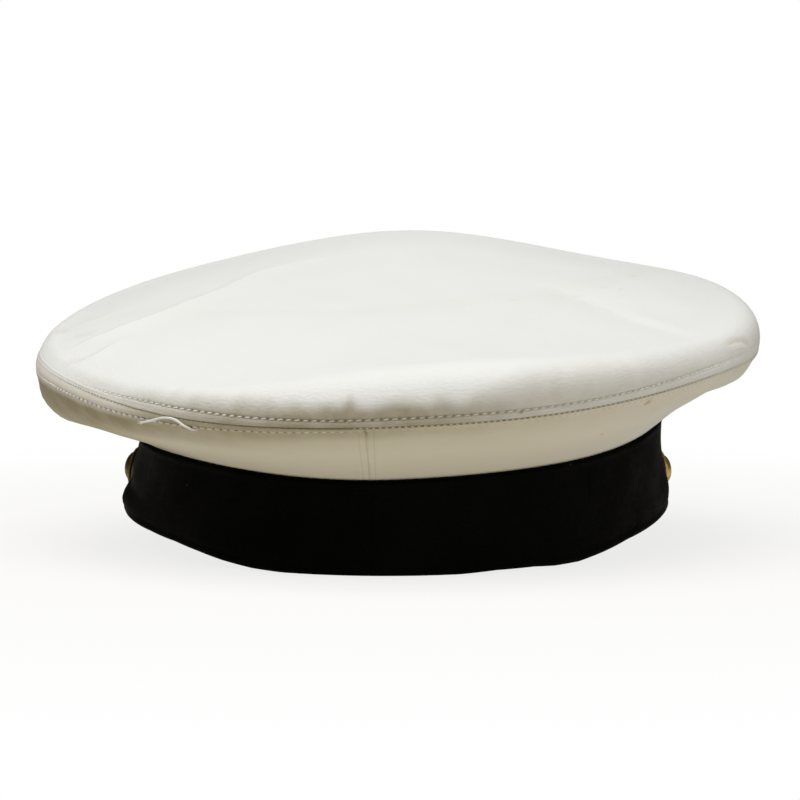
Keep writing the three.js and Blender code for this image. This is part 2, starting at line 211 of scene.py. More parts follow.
# Colours of the finishes
COTTON_WHITE = (0.845, 0.85, 0.825, 1)
COTTON_BRIGHT = (0.855, 0.86, 0.838, 1)
COTTON_BETWEEN = (0.80, 0.802, 0.775, 1)
COTTON_PLAIN = (0.82, 0.805, 0.75, 1)
# The side panel's yellow cloth: partly ageing, partly painted warm shade
COTTON_AGED_WARM_SHADE = (0.755, 0.702, 0.56, 1)
AGED_WARM_SHADE_PALE = (0.765, 0.712, 0.575, 1)
AGED_WARM_SHADE_BETWEEN = (0.70, 0.655, 0.545, 1)
# Dark cotton for dirt, and for painted shade of the rim and close under the edge seam
COTTON_GRIME_AND_SHADE = (0.33, 0.28, 0.175, 1)
# Painted shade for the top panel's front and sides
COTTON_IN_PAINTED_SHADE = (0.58, 0.585, 0.57, 1)
COTTON_STAIN = (0.72, 0.63, 0.44, 1)
OLD_SPOT = (0.50, 0.38, 0.22, 1)
# Dirt and painted shade along the creases
CREASE_SOIL_SHADE = (0.46, 0.43, 0.33, 1)
SEAM_BROWN = (0.19, 0.15, 0.085, 1)
RUST = (0.34, 0.17, 0.065, 1)
THREAD_WHITE = (0.84, 0.835, 0.80, 1)
# Dark thread for dirt, and for painted shade on the stitches at the back
THREAD_GRIME_AND_SHADE = (0.42, 0.36, 0.25, 1)
RIBBON_BLACK = (0.0007, 0.0007, 0.0007, 1)
RIBBON_WORN = (0.0018, 0.0018, 0.0018, 1)
RIBBON_RIB = (0.0024, 0.0024, 0.0024, 1)
RIBBON_LINT = (0.10, 0.095, 0.085, 1)
LEATHER_BLACK = (0.008, 0.008, 0.0085, 1)
LEATHER_WORN = (0.016, 0.015, 0.014, 1)
LEATHER_DUST = (0.12, 0.115, 0.10, 1)
GILT = {"bright": (0.86, 0.63, 0.22, 1), "dull": (0.42, 0.28, 0.09, 1)}
# Gilt of the left button, darkened as painted shade
GILT_IN_PAINTED_SHADE = {"bright": (0.26, 0.19, 0.075, 1), "dull": (0.10, 0.07, 0.03, 1)}

# Studio, in metres and watts
FLOOR = {"radius": 3.0, "corners": 96, "thickness": 0.004, "drop": 0.0002}
LIGHTS = (
    {"name": "overhead_softbox", "place": (-0.17, -0.36, 1.26), "aim": (0, 0, 0.08), "size": 1.5,
     "power": 21.7, "colour": (1.0, 1.0, 0.995)},
    {"name": "right_fill", "place": (1.2, -0.7, 0.45), "aim": (0, 0, 0.05), "size": 0.7,
     "power": 3.2, "colour": (1.0, 0.98, 0.95)},
)
CAMERA = {"azimuth": math.radians(5), "elevation": math.radians(3.98), "distance": 1.1,
          "aim": (0, 0, 0.0496), "sensor": 36.0, "focal_pixels": 3104, "picture_pixels": 800}


def unit(v):
    return v / np.maximum(np.linalg.norm(v, axis=-1, keepdims=True), 1e-12)


def blend(low, high, share):
    return low + (high - low) * share


def ease(value, low, high):
    """0 below low, 1 above high, smooth between."""
    t = np.clip((value - low) / (high - low), 0, 1)
    return t * t * (3 - 2 * t)


def fade(value, low, high):
    """1 below low, 0 above high, smooth between."""
    return 1 - ease(value, low, high)


def mound(value, middle, half_width):
    """1 at the middle, and smoothly down to nothing on both sides of it."""
    return np.exp(-((value - middle) / half_width) ** 2)


def by_angle(table, column, angle):
    """A table's column at an angle, on straight lines from row to row."""
    degrees = np.degrees(np.mod(np.asarray(angle) + np.pi, 2 * np.pi) - np.pi)
    return np.interp(degrees, table["angle"], table[column])


# Shape of the cap

def section(column, angle):
    """One column of the crown sections at an angle, on a smooth closed curve through its rows."""
    rows = len(CROWN[column])
    x = np.asarray(angle, float)[..., None] - np.arange(rows) * 2 * np.pi / rows
    away = np.tan(x / 2)
    at_row = np.abs(away) < 1e-9
    weight = np.where(at_row, 1.0, np.sin(rows * x / 2) / (rows * np.where(at_row, 1.0, away)))
    return weight @ np.array(CROWN[column], float)


def outward(angle, reach, height):
    """A point so far beyond the oval of the band's upper edge, and so high."""
    def power(v, e):
        return np.sign(v) * np.abs(v) ** e

    s, c, n = np.sin(angle), np.cos(angle), BAND["squareness"]
    x, y = BAND["half_width"] * power(s, 2 / n), -BAND["half_length"] * power(c, 2 / n)
    out_x, out_y = power(s, 2 - 2 / n) / BAND["half_width"], -power(c, 2 - 2 / n) / BAND["half_length"]
    size = np.hypot(out_x, out_y)
    x = x + out_x / size * reach
    y = y + out_y / size * reach
    return np.stack(np.broadcast_arrays(x, y, height), -1).astype(float)


def off_band(angle, reach, height):
    """A point so far off the band's face, which spreads and leans towards its lower edge."""
    spread = 1 - height / section("band_height", angle)
    point = outward(angle, reach + BAND["flare"] * spread, height)
    point[..., 0] += BAND["lean"] * spread
    return point


def table_height(y):
    rear = BAND["half_length"] + BAND["flare"]
    return REST["settle"] - (y + rear) * math.tan(REST["tilt"])


def on_table(points):
    """The points, kept from sinking below the table under the tipped cap."""
    points[..., 2] = np.maximum(points[..., 2], table_height(points[..., 1]))
    return points


def seated(points):
    """Points of the upright cap in millimetres, on the table in metres."""
    x, y, z = np.moveaxis(np.asarray(points, float), -1, 0)
    c, s = math.cos(REST["tilt"]), math.sin(REST["tilt"])
    return (np.stack([x, y * c - z * s, y * s + z * c], -1) + REST["shift"]) / 1000


def seam_turn(angle):
    """The edge seam's turn round the padded rim, below its widest line."""
    return np.arcsin(section("seam_drop", angle) / section("roll", angle))


def rim_length(angle):
    return section("roll", angle) * (seam_turn(angle) + np.pi / 2)


def rim_at(angle, above):
    """The padded rim, so far above the edge seam along the cloth."""
    roll = section("roll", angle)
    turn = seam_turn(angle) - above / roll
    reach = section("overhang", angle) - roll * (1 - np.cos(turn))
    return outward(angle, reach, section("rim_height", angle) - roll * np.sin(turn))


def top_at(angle, inward):
    """The top panel from the rim, 0, to its middle, 1."""
    edge = rim_at(angle, rim_length(angle))
    share = 1 - np.asarray(inward, float)
    lift = (edge[..., 2] - TOP["height"]) * share ** TOP["edge_turn"] + TOP["dome"] * (1 - share ** 2)
    return np.stack([edge[..., 0] * share, edge[..., 1] * share, TOP["height"] + lift], -1)


def side_at(angle, up):
    """The side panel from the band's upper edge, 0, to the edge seam, 1."""
    roll, turn = section("roll", angle), seam_turn(angle)
    seam = np.stack([section("overhang", angle) - roll * (1 - np.cos(turn)),
                     section("rim_height", angle) - roll * np.sin(turn)], -1)
    foot = np.stack([np.zeros_like(roll) - SIDE["inset"], section("band_height", angle) + SIDE["clear"]], -1)
    span = np.linalg.norm(seam - foot, axis=-1, keepdims=True)
    hang = np.stack([-np.sin(turn), -np.cos(turn)], -1) * section("belly", angle)[..., None] * span
    tuck = np.array([-math.cos(SIDE["arrival"]), -math.sin(SIDE["arrival"])]) * SIDE["pull"] * span
    t = (1 - np.asarray(up, float))[..., None]
    t2, t3 = t ** 2, t ** 3
    at = seam * (2 * t3 - 3 * t2 + 1) + hang * (t3 - 2 * t2 + t)
    at = at + foot * (3 * t2 - 2 * t3) + tuck * (t3 - t2)
    return outward(angle, at[..., 0], at[..., 1])


def peak_at(along, out):
    """The peak, from end to end and from the band out to its rim."""
    side = 1 - 2 * along
    angle = np.pi + side * PEAK["half_span"]
    ends = np.abs(side) ** PEAK_REACH["taper"]
    inner = off_band(angle, -BAND["wall"] / 2, 0 * side)
    inner[..., 2] = -SIDE["clear"]
    outer = off_band(angle, blend(PEAK_REACH["middle"], PEAK_REACH["ends"], ends), 0 * side)
    rise = ease(np.abs(side), PEAK["rest_span"] / PEAK["half_span"], 1)
    level = table_height(outer[..., 1]) + PEAK["rim"]
    outer[..., 2] = blend(level, inner[..., 2] - PEAK["thickness"], rise)
    point = blend(inner, outer, np.asarray(out)[..., None])
    point[..., 2] += PEAK["arch"] * 4 * out * (1 - out) * (1 - ends)
    return point


def strap_at(along, up):
    """The chin strap's face, from button to button round the front, from its lower edge to its upper one."""
    half_turn = np.pi - BUTTONS["angle"] + STRAP["end_reach"] / BAND["half_width"]
    side = 2 * along - 1
    from_end = (1 - np.abs(side)) * half_turn * BAND["half_width"]
    rounding = np.clip(from_end / (STRAP["width"] / 2), 0, 1)
    width = blend(STRAP["end_width"], STRAP["width"], np.sqrt(rounding * (2 - rounding)))
    rise = ease(np.abs(side), STRAP_LINE["level"], 1)
    height = blend(STRAP_LINE["front"], np.where(side > 0, STRAP_LINE["left"], STRAP_LINE["right"]), rise)
    angle = np.pi + BUTTONS["slip"] + side * half_turn
    return off_band(angle, STRAP["clear"] + STRAP["thickness"], height + width * (up - 0.5))


def facing(surface, along, up, step_along=1e-4, step_up=1e-3):
    """The direction square to a surface, out of the cap."""
    across = surface(along + step_along, up) - surface(along - step_along, up)
    rise = surface(along, up + step_up) - surface(along, up - step_up)
    return unit(np.cross(across, rise))


# Meshes

def link_piece(mesh, material, node=None):
    """A piece of the cap, named as its mesh is, in the place of a CAD node if it stands for one."""
    piece = bpy.data.objects.new(mesh.name, mesh)
    bpy.context.scene.collection.objects.link(piece)
    mesh.materials.append(material)
    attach(piece, "root")
    if node:
        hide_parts(node)
    return piece


def mesh_from(name, points, faces, maps=None, masks=None):
    """A smooth mesh in metres. maps give each face corner two numbers, and masks give each point one."""
    mesh = bpy.data.meshes.new(name)
    mesh.from_pydata(points.tolist(), [], faces)
    for label, values in (maps or {}).items():
        layer = mesh.uv_layers.new(name=label)
        layer.data.foreach_set("uv", np.asarray(values, np.float32).ravel())
    for label, values in (masks or {}).items():
        mask = mesh.attributes.new(label, "FLOAT", "POINT")
        mask.data.foreach_set("value", np.asarray(values, np.float32))
    mesh.polygons.foreach_set("use_smooth", np.ones(len(faces), bool))
    mesh.update()
    return mesh


def skin(name, rings, joined, maps=None, masks=None):
    """A closed skin over rings of points, each with as many points as the one before, or half or twice.

    A joined skin runs from its last ring back to its first; any other is closed with a point at each end.
    maps and masks hold one array for each ring. A map's array has one more row than its ring, for the way
    back to the ring's first point.
    """
    counts = [len(ring) for ring in rings]
    starts = np.concatenate([[0], np.cumsum(counts)])
    extended = np.concatenate([[0], np.cumsum([n + 1 for n in counts])])
    real = np.concatenate([starts[i] + np.arange(n + 1) % n for i, n in enumerate(counts)])
    faces = []
    pairs = [(i, i + 1) for i in range(len(rings) - 1)] + ([(len(rings) - 1, 0)] if joined else [])
    for a, b in pairs:
        n, m = counts[a], counts[b]
        if n == m:
            one, other = extended[a] + np.arange(n), extended[b] + np.arange(n)
            faces += np.stack([one, one + 1, other + 1, other], -1).tolist()
        else:
            fine, coarse, turned = (a, b, False) if n > m else (b, a, True)
            k = np.arange(min(n, m))
            f, c = extended[fine] + 2 * k, extended[coarse] + k
            corners = ((f, f + 1, c), (f + 1, c + 1, c), (f + 1, f + 2, c + 1))
            tris = np.concatenate([np.stack(t, -1) for t in corners])
            faces += (tris[:, ::-1] if turned else tris).tolist()
    points = [np.asarray(ring) for ring in rings]
    values = {label: np.concatenate(rows) for label, rows in (maps or {}).items()}
    weights = {label: np.concatenate(rows) for label, rows in (masks or {}).items()}
    if not joined:
        for ring, turned in ((0, True), (len(rings) - 1, False)):
            tip = len(real)
            real = np.append(real, starts[-1] + (0 if ring == 0 else 1))
            k = extended[ring] + np.arange(counts[ring])
            fan = np.stack([k, k + 1, np.full_like(k, tip)], -1)
            faces += (fan[:, ::-1] if turned else fan).tolist()
            points.append(rings[ring].mean(0, keepdims=True))
            for label in values:
                values[label] = np.append(values[label], maps[label][ring].mean(0, keepdims=True), 0)
            for label in weights:
                weights[label] = np.append(weights[label], masks[label][ring].mean())
    every = np.concatenate(points)
    if volume_of(every, [[int(real[i]) for i in face] for face in faces]) < 0:
        faces = [face[::-1] for face in faces]
    corner = np.fromiter((i for face in faces for i in face), int)
    named = [[int(real[i]) for i in face] for face in faces]
    return mesh_from(name, every, named, {k: v[corner] for k, v in values.items()}, weights)


def volume_of(points, faces):
    """Six times the space inside a closed skin, less than nothing where its faces are turned in."""
    tris = np.array([(f[0], f[i], f[i + 1]) for f in faces for i in range(1, len(f) - 1)])
    a, b, c = (points[tris[:, i]] for i in range(3))
    return float(np.einsum("ij,ij->i", a, np.cross(b, c)).sum())


def tubes(paths, sides_of, radius, taper=(0.45, 0.85, 1.0, 1.0, 0.85, 0.45), ring=6):
    """Points and faces of many short threads at once: paths is stitches x points x 3, in millimetres."""
    count, steps = paths.shape[:2]
    forward = unit(np.gradient(paths, axis=1))
    up = unit(sides_of - forward * np.sum(sides_of * forward, -1, keepdims=True))
    aside = np.cross(forward, up)
    turn = np.arange(ring) * 2 * np.pi / ring
    size = radius * np.interp(np.linspace(0, 1, steps), np.linspace(0, 1, len(taper)), taper)
    circle = np.cos(turn)[:, None] * up[:, :, None, :] + np.sin(turn)[:, None] * aside[:, :, None, :]
    body = paths[:, :, None, :] + circle * size[None, :, None, None]
    tips = paths[:, [0, -1]] + forward[:, [0, -1]] * np.array([-0.35, 0.35])[None, :, None] * radius
    points = np.concatenate([body.reshape(count, -1, 3), tips], 1)
    k, j = np.meshgrid(np.arange(ring), np.arange(steps - 1))
    k, j = k.ravel(), j.ravel()
    after = (k + 1) % ring
    quads = np.stack([j * ring + k, j * ring + after, (j + 1) * ring + after, (j + 1) * ring + k], -1)
    first, last = steps * ring, (steps - 1) * ring
    k = np.arange(ring)
    fans = np.concatenate([np.stack([(k + 1) % ring, k, np.full(ring, first)], -1),
                           np.stack([last + k, last + (k + 1) % ring, np.full(ring, first + 1)], -1)])
    shift = (np.arange(count) * points.shape[1])[:, None, None]
    faces = (quads[None] + shift).reshape(-1, 4).tolist() + (fans[None] + shift).reshape(-1, 3).tolist()
    return points.reshape(-1, 3), faces


def gathered(parts):
    """Several sets of points, faces and point values as one."""
    points, faces, values, start = [], [], [], 0
    for more, added, each in parts:
        points.append(more)
        faces += [[i + start for i in face] for face in added]
        values.append(each)
        start += len(more)
    return np.concatenate(points), faces, np.concatenate(values)


def angles_round(count, close_at=None):
    """Angles round the cap, from the front all the way round, closer together behind and at a seam."""
    angle = np.linspace(-np.pi, np.pi, 40001)
    density = 1 + 0.95 * (0.5 + 0.5 * np.cos(angle))
    if close_at is not None:
        density += 4 * mound(angle, close_at, math.radians(0.55))
    way = np.concatenate([[0], np.cumsum((density[1:] + density[:-1]) / 2)])
    return np.interp(np.arange(count) / count * way[-1], way, angle)


SEAM_ANGLES = np.linspace(-np.pi, np.pi, 8001)
SEAM_LINE = rim_at(SEAM_ANGLES, 0 * SEAM_ANGLES)
SEAM_RUN = np.concatenate([[0], np.cumsum(np.linalg.norm(np.diff(SEAM_LINE, axis=0), axis=1))])


def run_at(angle):
    """The way along the edge seam, from the front."""
    return np.interp(angle, SEAM_ANGLES, SEAM_RUN)


def angle_at(run):
    return np.interp(run, SEAM_RUN, SEAM_ANGLES)


def even_pitch(row):
    """The pitch that fits a whole number of a row's stitches into the edge seam."""
    return SEAM_RUN[-1] / round(SEAM_RUN[-1] / STITCHES[row]["pitch"])


def closed(row):
    """A row of values with its first one again at its end."""
    return np.concatenate([row, row[:1]])


def seam_map(angle, away):
    """The way along the edge seam and the way off it in metres, for a ring and the way back to its start."""
    return np.stack([np.append(run_at(angle), SEAM_RUN[-1]), closed(away)], -1) / 1000


# Relief of the cloth

def from_line(x, y, line):
    """Signed distance from a line of plan points, less than nothing at its left, and the share along it."""
    line = np.array(line, float)
    lengths = np.linalg.norm(np.diff(line, axis=0), axis=1)
    ways = np.concatenate([[0], np.cumsum(lengths)])
    best = np.full(np.shape(x), np.inf)
    sign, along = np.zeros_like(best), np.zeros_like(best)
    for i, (a, b) in enumerate(zip(line[:-1], line[1:])):
        d = (b - a) / lengths[i]
        px, py = x - a[0], y - a[1]
        start = 0 if i else -RUN_ON
        end = lengths[i] if i + 2 < len(line) else lengths[i] + RUN_ON
        t = np.clip(px * d[0] + py * d[1], start, end)
        away = np.hypot(px - d[0] * t, py - d[1] * t)
        nearer = away < best
        best = np.where(nearer, away, best)
        sign = np.where(nearer, np.sign(px * d[1] - py * d[0]), sign)
        along = np.where(nearer, (ways[i] + t) / ways[-1], along)
    return best * np.where(sign == 0, 1, sign), along


def crease_rise(x, y):
    """Height of the top panel's creases at plan points."""
    total = np.zeros(np.shape(x))
    for crease in CREASES:
        away, along = from_line(x, y, crease["line"])
        spread = np.where(away < 0, crease["left"], crease["right"])
        ends = ease(along, -0.15, 0.2) * fade(along, 0.75, 1.15)
        total += crease["rise"] * ends * np.exp(-np.abs(away / spread) ** 1.5)
    slack = SLACK["broad"] * np.sin(x / 9.7 + 0.6 * np.sin(y / 17.3)) * np.cos(y / 12.1 + 1.3)
    slack += SLACK["fine"] * np.sin((x * 0.8 + y * 0.6) / 6.1 + 2.1 * np.sin(x / 31))
    return total + slack


def crease_marks(x, y):
    """Signed distance from the nearest marked crease at plan points, and how plainly its line of dirt and
    painted shade marks it there.
    """
    nearest, shown = np.full(np.shape(x), NO_FOLD_NEAR), np.zeros(np.shape(x))
    for crease in CREASES:
        away, along = from_line(x, y, crease["line"])
        mark = crease["mark"] * mound(away, 0, 4) * ease(along, -0.1, 0.15) * fade(along, 0.5, 1)
        nearest = np.where(mark > shown, away, nearest)
        shown = np.maximum(mark, shown)
    return nearest, shown


def top_row_above(angle):
    return by_angle(TOP_ROW, "above", angle)


def low_row_below(angle):
    return by_angle(LOW_ROW, "below", angle)


def puckers(run):
    """Small uneven gathers along the stitching, about -1 to 1."""
    fine = np.sin(2 * np.pi * run / 2.8 + 0.7 * np.sin(2 * np.pi * run / 41))
    middle = np.sin(2 * np.pi * run / 4.7 + 1.7 * np.sin(2 * np.pi * run / 67) + 0.8)
    patches = 0.65 + 0.35 * np.sin(2 * np.pi * run / 53 + 0.7)
    return (0.65 * fine + 0.35 * middle) * patches


def creased(angle):
    """How plainly the strip under the upper stitch row is creased along its middle, at the left."""
    return ease(-np.degrees(angle), 28, 42) * fade(-np.degrees(angle), 80, 95)


def from_tuck(angle, above, width):
    """1 in the tuck of the rim, and 0 away from it."""
    line = [(run_at(math.radians(degrees)), up) for degrees, up in RIM_TUCK]
    away, along = from_line(run_at(angle), above + 0 * angle, line)
    return mound(away, 0, width) * ease(along, -0.15, 0.1) * fade(along, 0.8, 1.1)


def rim_form(angle, above):
    """How far the padded rim stands out of a plain roll. The cut is deepest at 0.4 of the rim's height."""
    share = np.clip(above / rim_length(angle), 0, 1)
    full = by_angle(RIM_SHAPE, "full", angle) * np.sin(np.pi * share ** 0.9) ** 2
    cut = by_angle(RIM_SHAPE, "cut", angle) * 5.38 * share * (1 - share) ** 1.5
    edge = by_angle(RIM_SHAPE, "stand", angle) * mound(above, 0, 4)
    return section("roll", angle) * (full - cut) + edge


def rim_relief(angle, above):
    """How far the rim's cloth stands out where it is stitched, gathered and dented."""
    row, run = top_row_above(angle), run_at(angle)
    over = np.maximum(above - row, 0)
    drawn = by_angle(TOP_ROW, "shown", angle)
    gather = by_angle(RIM_SHAPE, "gather", angle)
    strip = np.sin(np.pi * np.clip(above / row, 0, 1)) ** 0.8
    relief = np.where(above < row, RIM_CLOTH["strip"] * drawn * strip, 0)
    relief -= RIM_CLOTH["row"] * drawn * mound(above, row, 0.5)
    relief += RIM_CLOTH["swell"] * drawn * (1 - np.exp(-over / 1.4)) * np.exp(-over / 7)
    relief += RIM_CLOTH["gathers"] * gather * puckers(run) * (1 - np.exp(-over / 0.8)) * np.exp(-over / 2.2)
    wrinkles = puckers(0.55 * run + 9) * mound(over, 5, 3) * ease(np.degrees(angle), 10, 18)
    relief += RIM_CLOTH["wrinkles"] * gather * wrinkles
    relief -= RIM_CLOTH["crease"] * creased(angle) * mound(above / row, 0.5, 0.13)
    relief -= RIM_CLOTH["tuck"] * from_tuck(angle, above, 1.2)
    for degrees, depth, half_width in RIM_DENTS:
        reach = ease(over, 0, 2.5) * fade(over, 4, 11)
        relief -= depth * reach * mound(run, run_at(math.radians(degrees)), half_width)
    return relief + rim_form(angle, above)


def back_seam_angle(down):
    return np.radians(np.interp(down, BACK_SEAM["down"], BACK_SEAM["angle"]))


def side_form(angle, below):
    """How far the side panel's edge stands out with the rim's, the fold under it, and the sag below that."""
    edge = by_angle(RIM_SHAPE, "stand", angle) * mound(below, 0, 5)
    fold = by_angle(RIM_SHAPE, "fold", angle) * mound(below, 8, 5)
    return edge + fold + by_angle(RIM_SHAPE, "sag", angle) * mound(below, 23, 6)


def drawn_in(angle, above_band):
    """How far the side panel is drawn in above the band."""
    return by_angle(RIM_SHAPE, "hollow", angle) * mound(above_band, 12, 8)


def side_relief(angle, below, beside):
    """How far the side panel stands out, below the edge seam and beside the back seam."""
    run, shown, row = run_at(angle), by_angle(SEAM_LOOK, "lower_row", angle), low_row_below(angle)
    relief = SIDE_CLOTH["strip"] * shown * np.sin(np.pi * np.clip(below / row, 0, 1))
    relief -= (SIDE_CLOTH["row"] + SIDE_CLOTH["plain_row"] * shown) * mound(below, row, 0.4)
    relief += SIDE_CLOTH["allowance"] * fade(below, 4.5, 6.5)
    relief -= SIDE_CLOTH["back_seam"] * np.exp(-np.abs(beside / 0.33) ** 1.6)
    relief += SIDE_CLOTH["back_allowance"] * fade(np.abs(beside), 4.5, 6) * ease(below, 1, 4)
    relief -= SIDE_CLOTH["back_row"] * mound(np.abs(beside), BACK_ROW["aside"], 0.45) * ease(below, 1, 3)
    relief += SIDE_CLOTH["gathers"] * shown * puckers(run) * np.exp(-np.abs(below - row) / 2.5)
    slack = np.sin(2 * np.pi * run / 71 + 0.4) * np.sin(np.pi * np.clip(below / 40, 0, 1))
    return relief + SIDE_CLOTH["slack"] * slack + side_form(angle, below)


# Soil of the cloth

def rim_soil_and_shade(angle, above):
    """Dirt of the rim with painted shade in it: it reaches unevenly far up from the edge seam, and further at
    the dents, where the added reach is painted shade of the dents.
    """
    run = run_at(angle)
    reach, soft = by_angle(GRIME_AND_SHADE, "reach", angle), by_angle(GRIME_AND_SHADE, "soft", angle)
    reach = reach + 0.35 * np.sin(2 * np.pi * run / 23 + 0.5) + 0.2 * np.sin(2 * np.pi * run / 9.4 + 2)
    # Each dent adds a lobe of painted shade above it
    for degrees, depth, half_width in RIM_DENTS:
        lobe = depth * mound(run, run_at(math.radians(degrees)), half_width)
        reach = reach + 3.6 * lobe
        soft = soft + 1.5 * lobe
    soil_and_shade = by_angle(GRIME_AND_SHADE, "amount", angle) * fade(above, reach - soft, reach + soft)
    strip = 0.2 * mound(above / top_row_above(angle), 0.5, 0.14) + 0.25 * fade(above, 0.3, 1.8)
    return soil_and_shade + creased(angle) * strip


def painted_shade_at(angle, inward):
    """Painted shade on the top panel along its front and its sides, where the cloth turns away from the
    light.
    """
    front = ease(np.abs(np.degrees(angle)), 65, 115)
    return front * (0.22 * fade(inward, 0.02, 0.22) + 0.12 * fade(inward, 0.15, 0.6))


def pricked_at(angle):
    """How dark the needle pricks of the upper stitch row are."""
    grimy = np.clip(0.85 * by_angle(GRIME_AND_SHADE, "amount", angle) - 0.12, 0, 1)
    return by_angle(TOP_ROW, "shown", angle) ** 2 * grimy


def seam_dark(angle):
    """How dark the turned-in edges of the edge seam are, unevenly."""
    return by_angle(SEAM_LOOK, "dark", angle) * (0.85 + 0.25 * puckers(1.4 * run_at(angle)))


def kept_clean(angle, below):
    """1 in the strip above the lower stitch row that has stayed clean, at the left."""
    row = low_row_below(angle)
    return creased(angle) * fade(below, row - 0.3, row + 3)


def side_soil_and_shade(angle, below, beside):
    """Dirt of the side panel with painted shadow close under the edge seam, below the edge seam and beside
    the back seam.
    """
    fall = 0.85 - 0.55 * ease(-np.degrees(angle), 36, 52)
    soil_and_shade = by_angle(SEAM_LOOK, "grime", angle) * (1 - fall * ease(below, 8, 22))
    # Painted shadow close under the edge seam where the rim overhangs, with some dirt
    soil_and_shade += by_angle(SEAM_LOOK, "under", angle) * fade(below, 3, 11)
    soil_and_shade = (soil_and_shade + 0.18 * fade(below, 3, 26)) * (1 - 0.85 * kept_clean(angle, below))
    return soil_and_shade + 0.35 * mound(beside, 0, 0.5) * fade(below, 3, 8)


# Node helpers

def put(tree, kind, settings=None, **sockets):
    """A node with its settings and its inputs: a socket is linked, and anything else is set."""
    node = tree.nodes.new(kind)
    for key, value in (settings or {}).items():
        setattr(node, key, value)
    for key, value in sockets.items():
        feed(tree, node.inputs[int(key[1:]) if key[1:].isdigit() else key.replace("_", " ")], value)
    return node


def feed(tree, socket, value):
    if isinstance(value, bpy.types.NodeSocket):
        tree.links.new(value, socket)
    elif value is not None:
        socket.default_value = value


def sum_of(tree, operation, a, b=None, c=None, clamp=False):
    """One Math node."""
    node = put(tree, "ShaderNodeMath", {"operation": operation, "use_clamp": clamp}, i0=a, i1=b, i2=c)
    return node.outputs[0]


def ramp_of(tree, value, low, high, to_low=0.0, to_high=1.0):
    """A value eased from one range to another."""
    settings = {"interpolation_type": "SMOOTHSTEP"}
    node = put(tree, "ShaderNodeMapRange", settings, i0=value, i1=low, i2=high, i3=to_low, i4=to_high)
    return node.outputs[0]


def tint_of(tree, factor, a, b):
    """Two colours mixed."""
    settings = {"data_type": "RGBA", "blend_type": "MIX", "clamp_factor": True}
    return put(tree, "ShaderNodeMix", settings, i0=factor, i6=a, i7=b).outputs[2]


def level_of(tree, factor, a, b):
    """Two values mixed."""
    return put(tree, "ShaderNodeMix", {"data_type": "FLOAT"}, i0=factor, i2=a, i3=b).outputs[0]


def noise_of(tree, vector, scale, detail=2.0, roughness=0.5):
    node = put(tree, "ShaderNodeTexNoise", None, Vector=vector, Scale=scale, Detail=detail,
               Roughness=roughness)
    return node.outputs[0]


def vector_of(tree, operation, a, b=None):
    """One Vector Math node's outputs."""
    return put(tree, "ShaderNodeVectorMath", {"operation": operation}, i0=a, i1=b).outputs


def parts_of(tree, vector):
    return put(tree, "ShaderNodeSeparateXYZ", None, Vector=vector).outputs


def effect(name, inputs, outputs):
    """A shader node group with named sockets: its tree, its inputs and its outputs."""
    tree = bpy.data.node_groups.new(name, "ShaderNodeTree")
    kinds = {"value": "NodeSocketFloat", "vector": "NodeSocketVector", "colour": "NodeSocketColor"}
    for label, kind in inputs:
        tree.interface.new_socket(label, in_out="INPUT", socket_type=kinds[kind])
    for label, kind in outputs:
        tree.interface.new_socket(label, in_out="OUTPUT", socket_type=kinds[kind])
    return tree, tree.nodes.new("NodeGroupInput").outputs, tree.nodes.new("NodeGroupOutput").inputs


def use_effect(tree, group, **sockets):
    """One use of an effect in a material."""
    return put(tree, "ShaderNodeGroup", {"node_tree": group}, **sockets).outputs


# Effects that several finishes share

def weave_effect():
    """Over-and-under threads: how high each one stands, and how light it is."""
    tree, given, out = effect("cloth_weave", [("Cloth", "vector"), ("Warp", "value"), ("Weft", "value")],
                              [("Height", "value"), ("Shade", "value")])
    waves = []
    for way, thread in zip(parts_of(tree, given["Cloth"]), (given["Warp"], given["Weft"])):
        turn = sum_of(tree, "DIVIDE", sum_of(tree, "MULTIPLY", way, math.pi), thread)
        waves.append(sum_of(tree, "SINE", turn))
    over = sum_of(tree, "GREATER_THAN", sum_of(tree, "MULTIPLY", *waves), 0.0)
    ends, picks = (sum_of(tree, "ABSOLUTE", wave) for wave in waves)
    height = level_of(tree, over, picks, ends)
    feed(tree, out["Height"], height)
    slub = noise_of(tree, given["Cloth"], 900.0, 1.0)
    feed(tree, out["Shade"], sum_of(tree, "MULTIPLY_ADD", slub, 0.5, sum_of(tree, "MULTIPLY", height, 0.5)))
    return tree


def patchy_tint_effect():
    """A colour mixed towards a second one where a mask says so, in uneven patches: stains, dirt and wear, and
    painted shade where the mask holds it.
    """
    inputs = [("Colour", "colour"), ("Grime", "colour"), ("Mask", "value"), ("Place", "vector"),
              ("Patches", "value")]
    tree, given, out = effect("patchy_tint", inputs, [("Colour", "colour")])
    patch = noise_of(tree, given["Place"], given["Patches"], 4.0, 0.6)
    uneven = ramp_of(tree, patch, 0.25, 0.75, 0.84, 1.12)
    amount = sum_of(tree, "MULTIPLY", given["Mask"], uneven, clamp=True)
    feed(tree, out["Colour"], tint_of(tree, amount, given["Colour"], given["Grime"]))
    return tree


def needle_effect():
    """Dark pricks along a stitch row, one at each end of a stitch."""
    inputs = [("Run", "value"), ("Away", "value"), ("Pitch", "value"), ("Size", "value")]
    tree, given, out = effect("needle_marks", inputs, [("Mask", "value")])
    step = sum_of(tree, "PINGPONG", given["Run"], sum_of(tree, "DIVIDE", given["Pitch"], 2.0))
    along = sum_of(tree, "DIVIDE", step, given["Size"])
    across = sum_of(tree, "DIVIDE", given["Away"], given["Size"])
    squares = sum_of(tree, "MULTIPLY_ADD", along, along, sum_of(tree, "MULTIPLY", across, across))
    feed(tree, out["Mask"], ramp_of(tree, squares, 0.25, 1.6, 1.0, 0.0))
    return tree


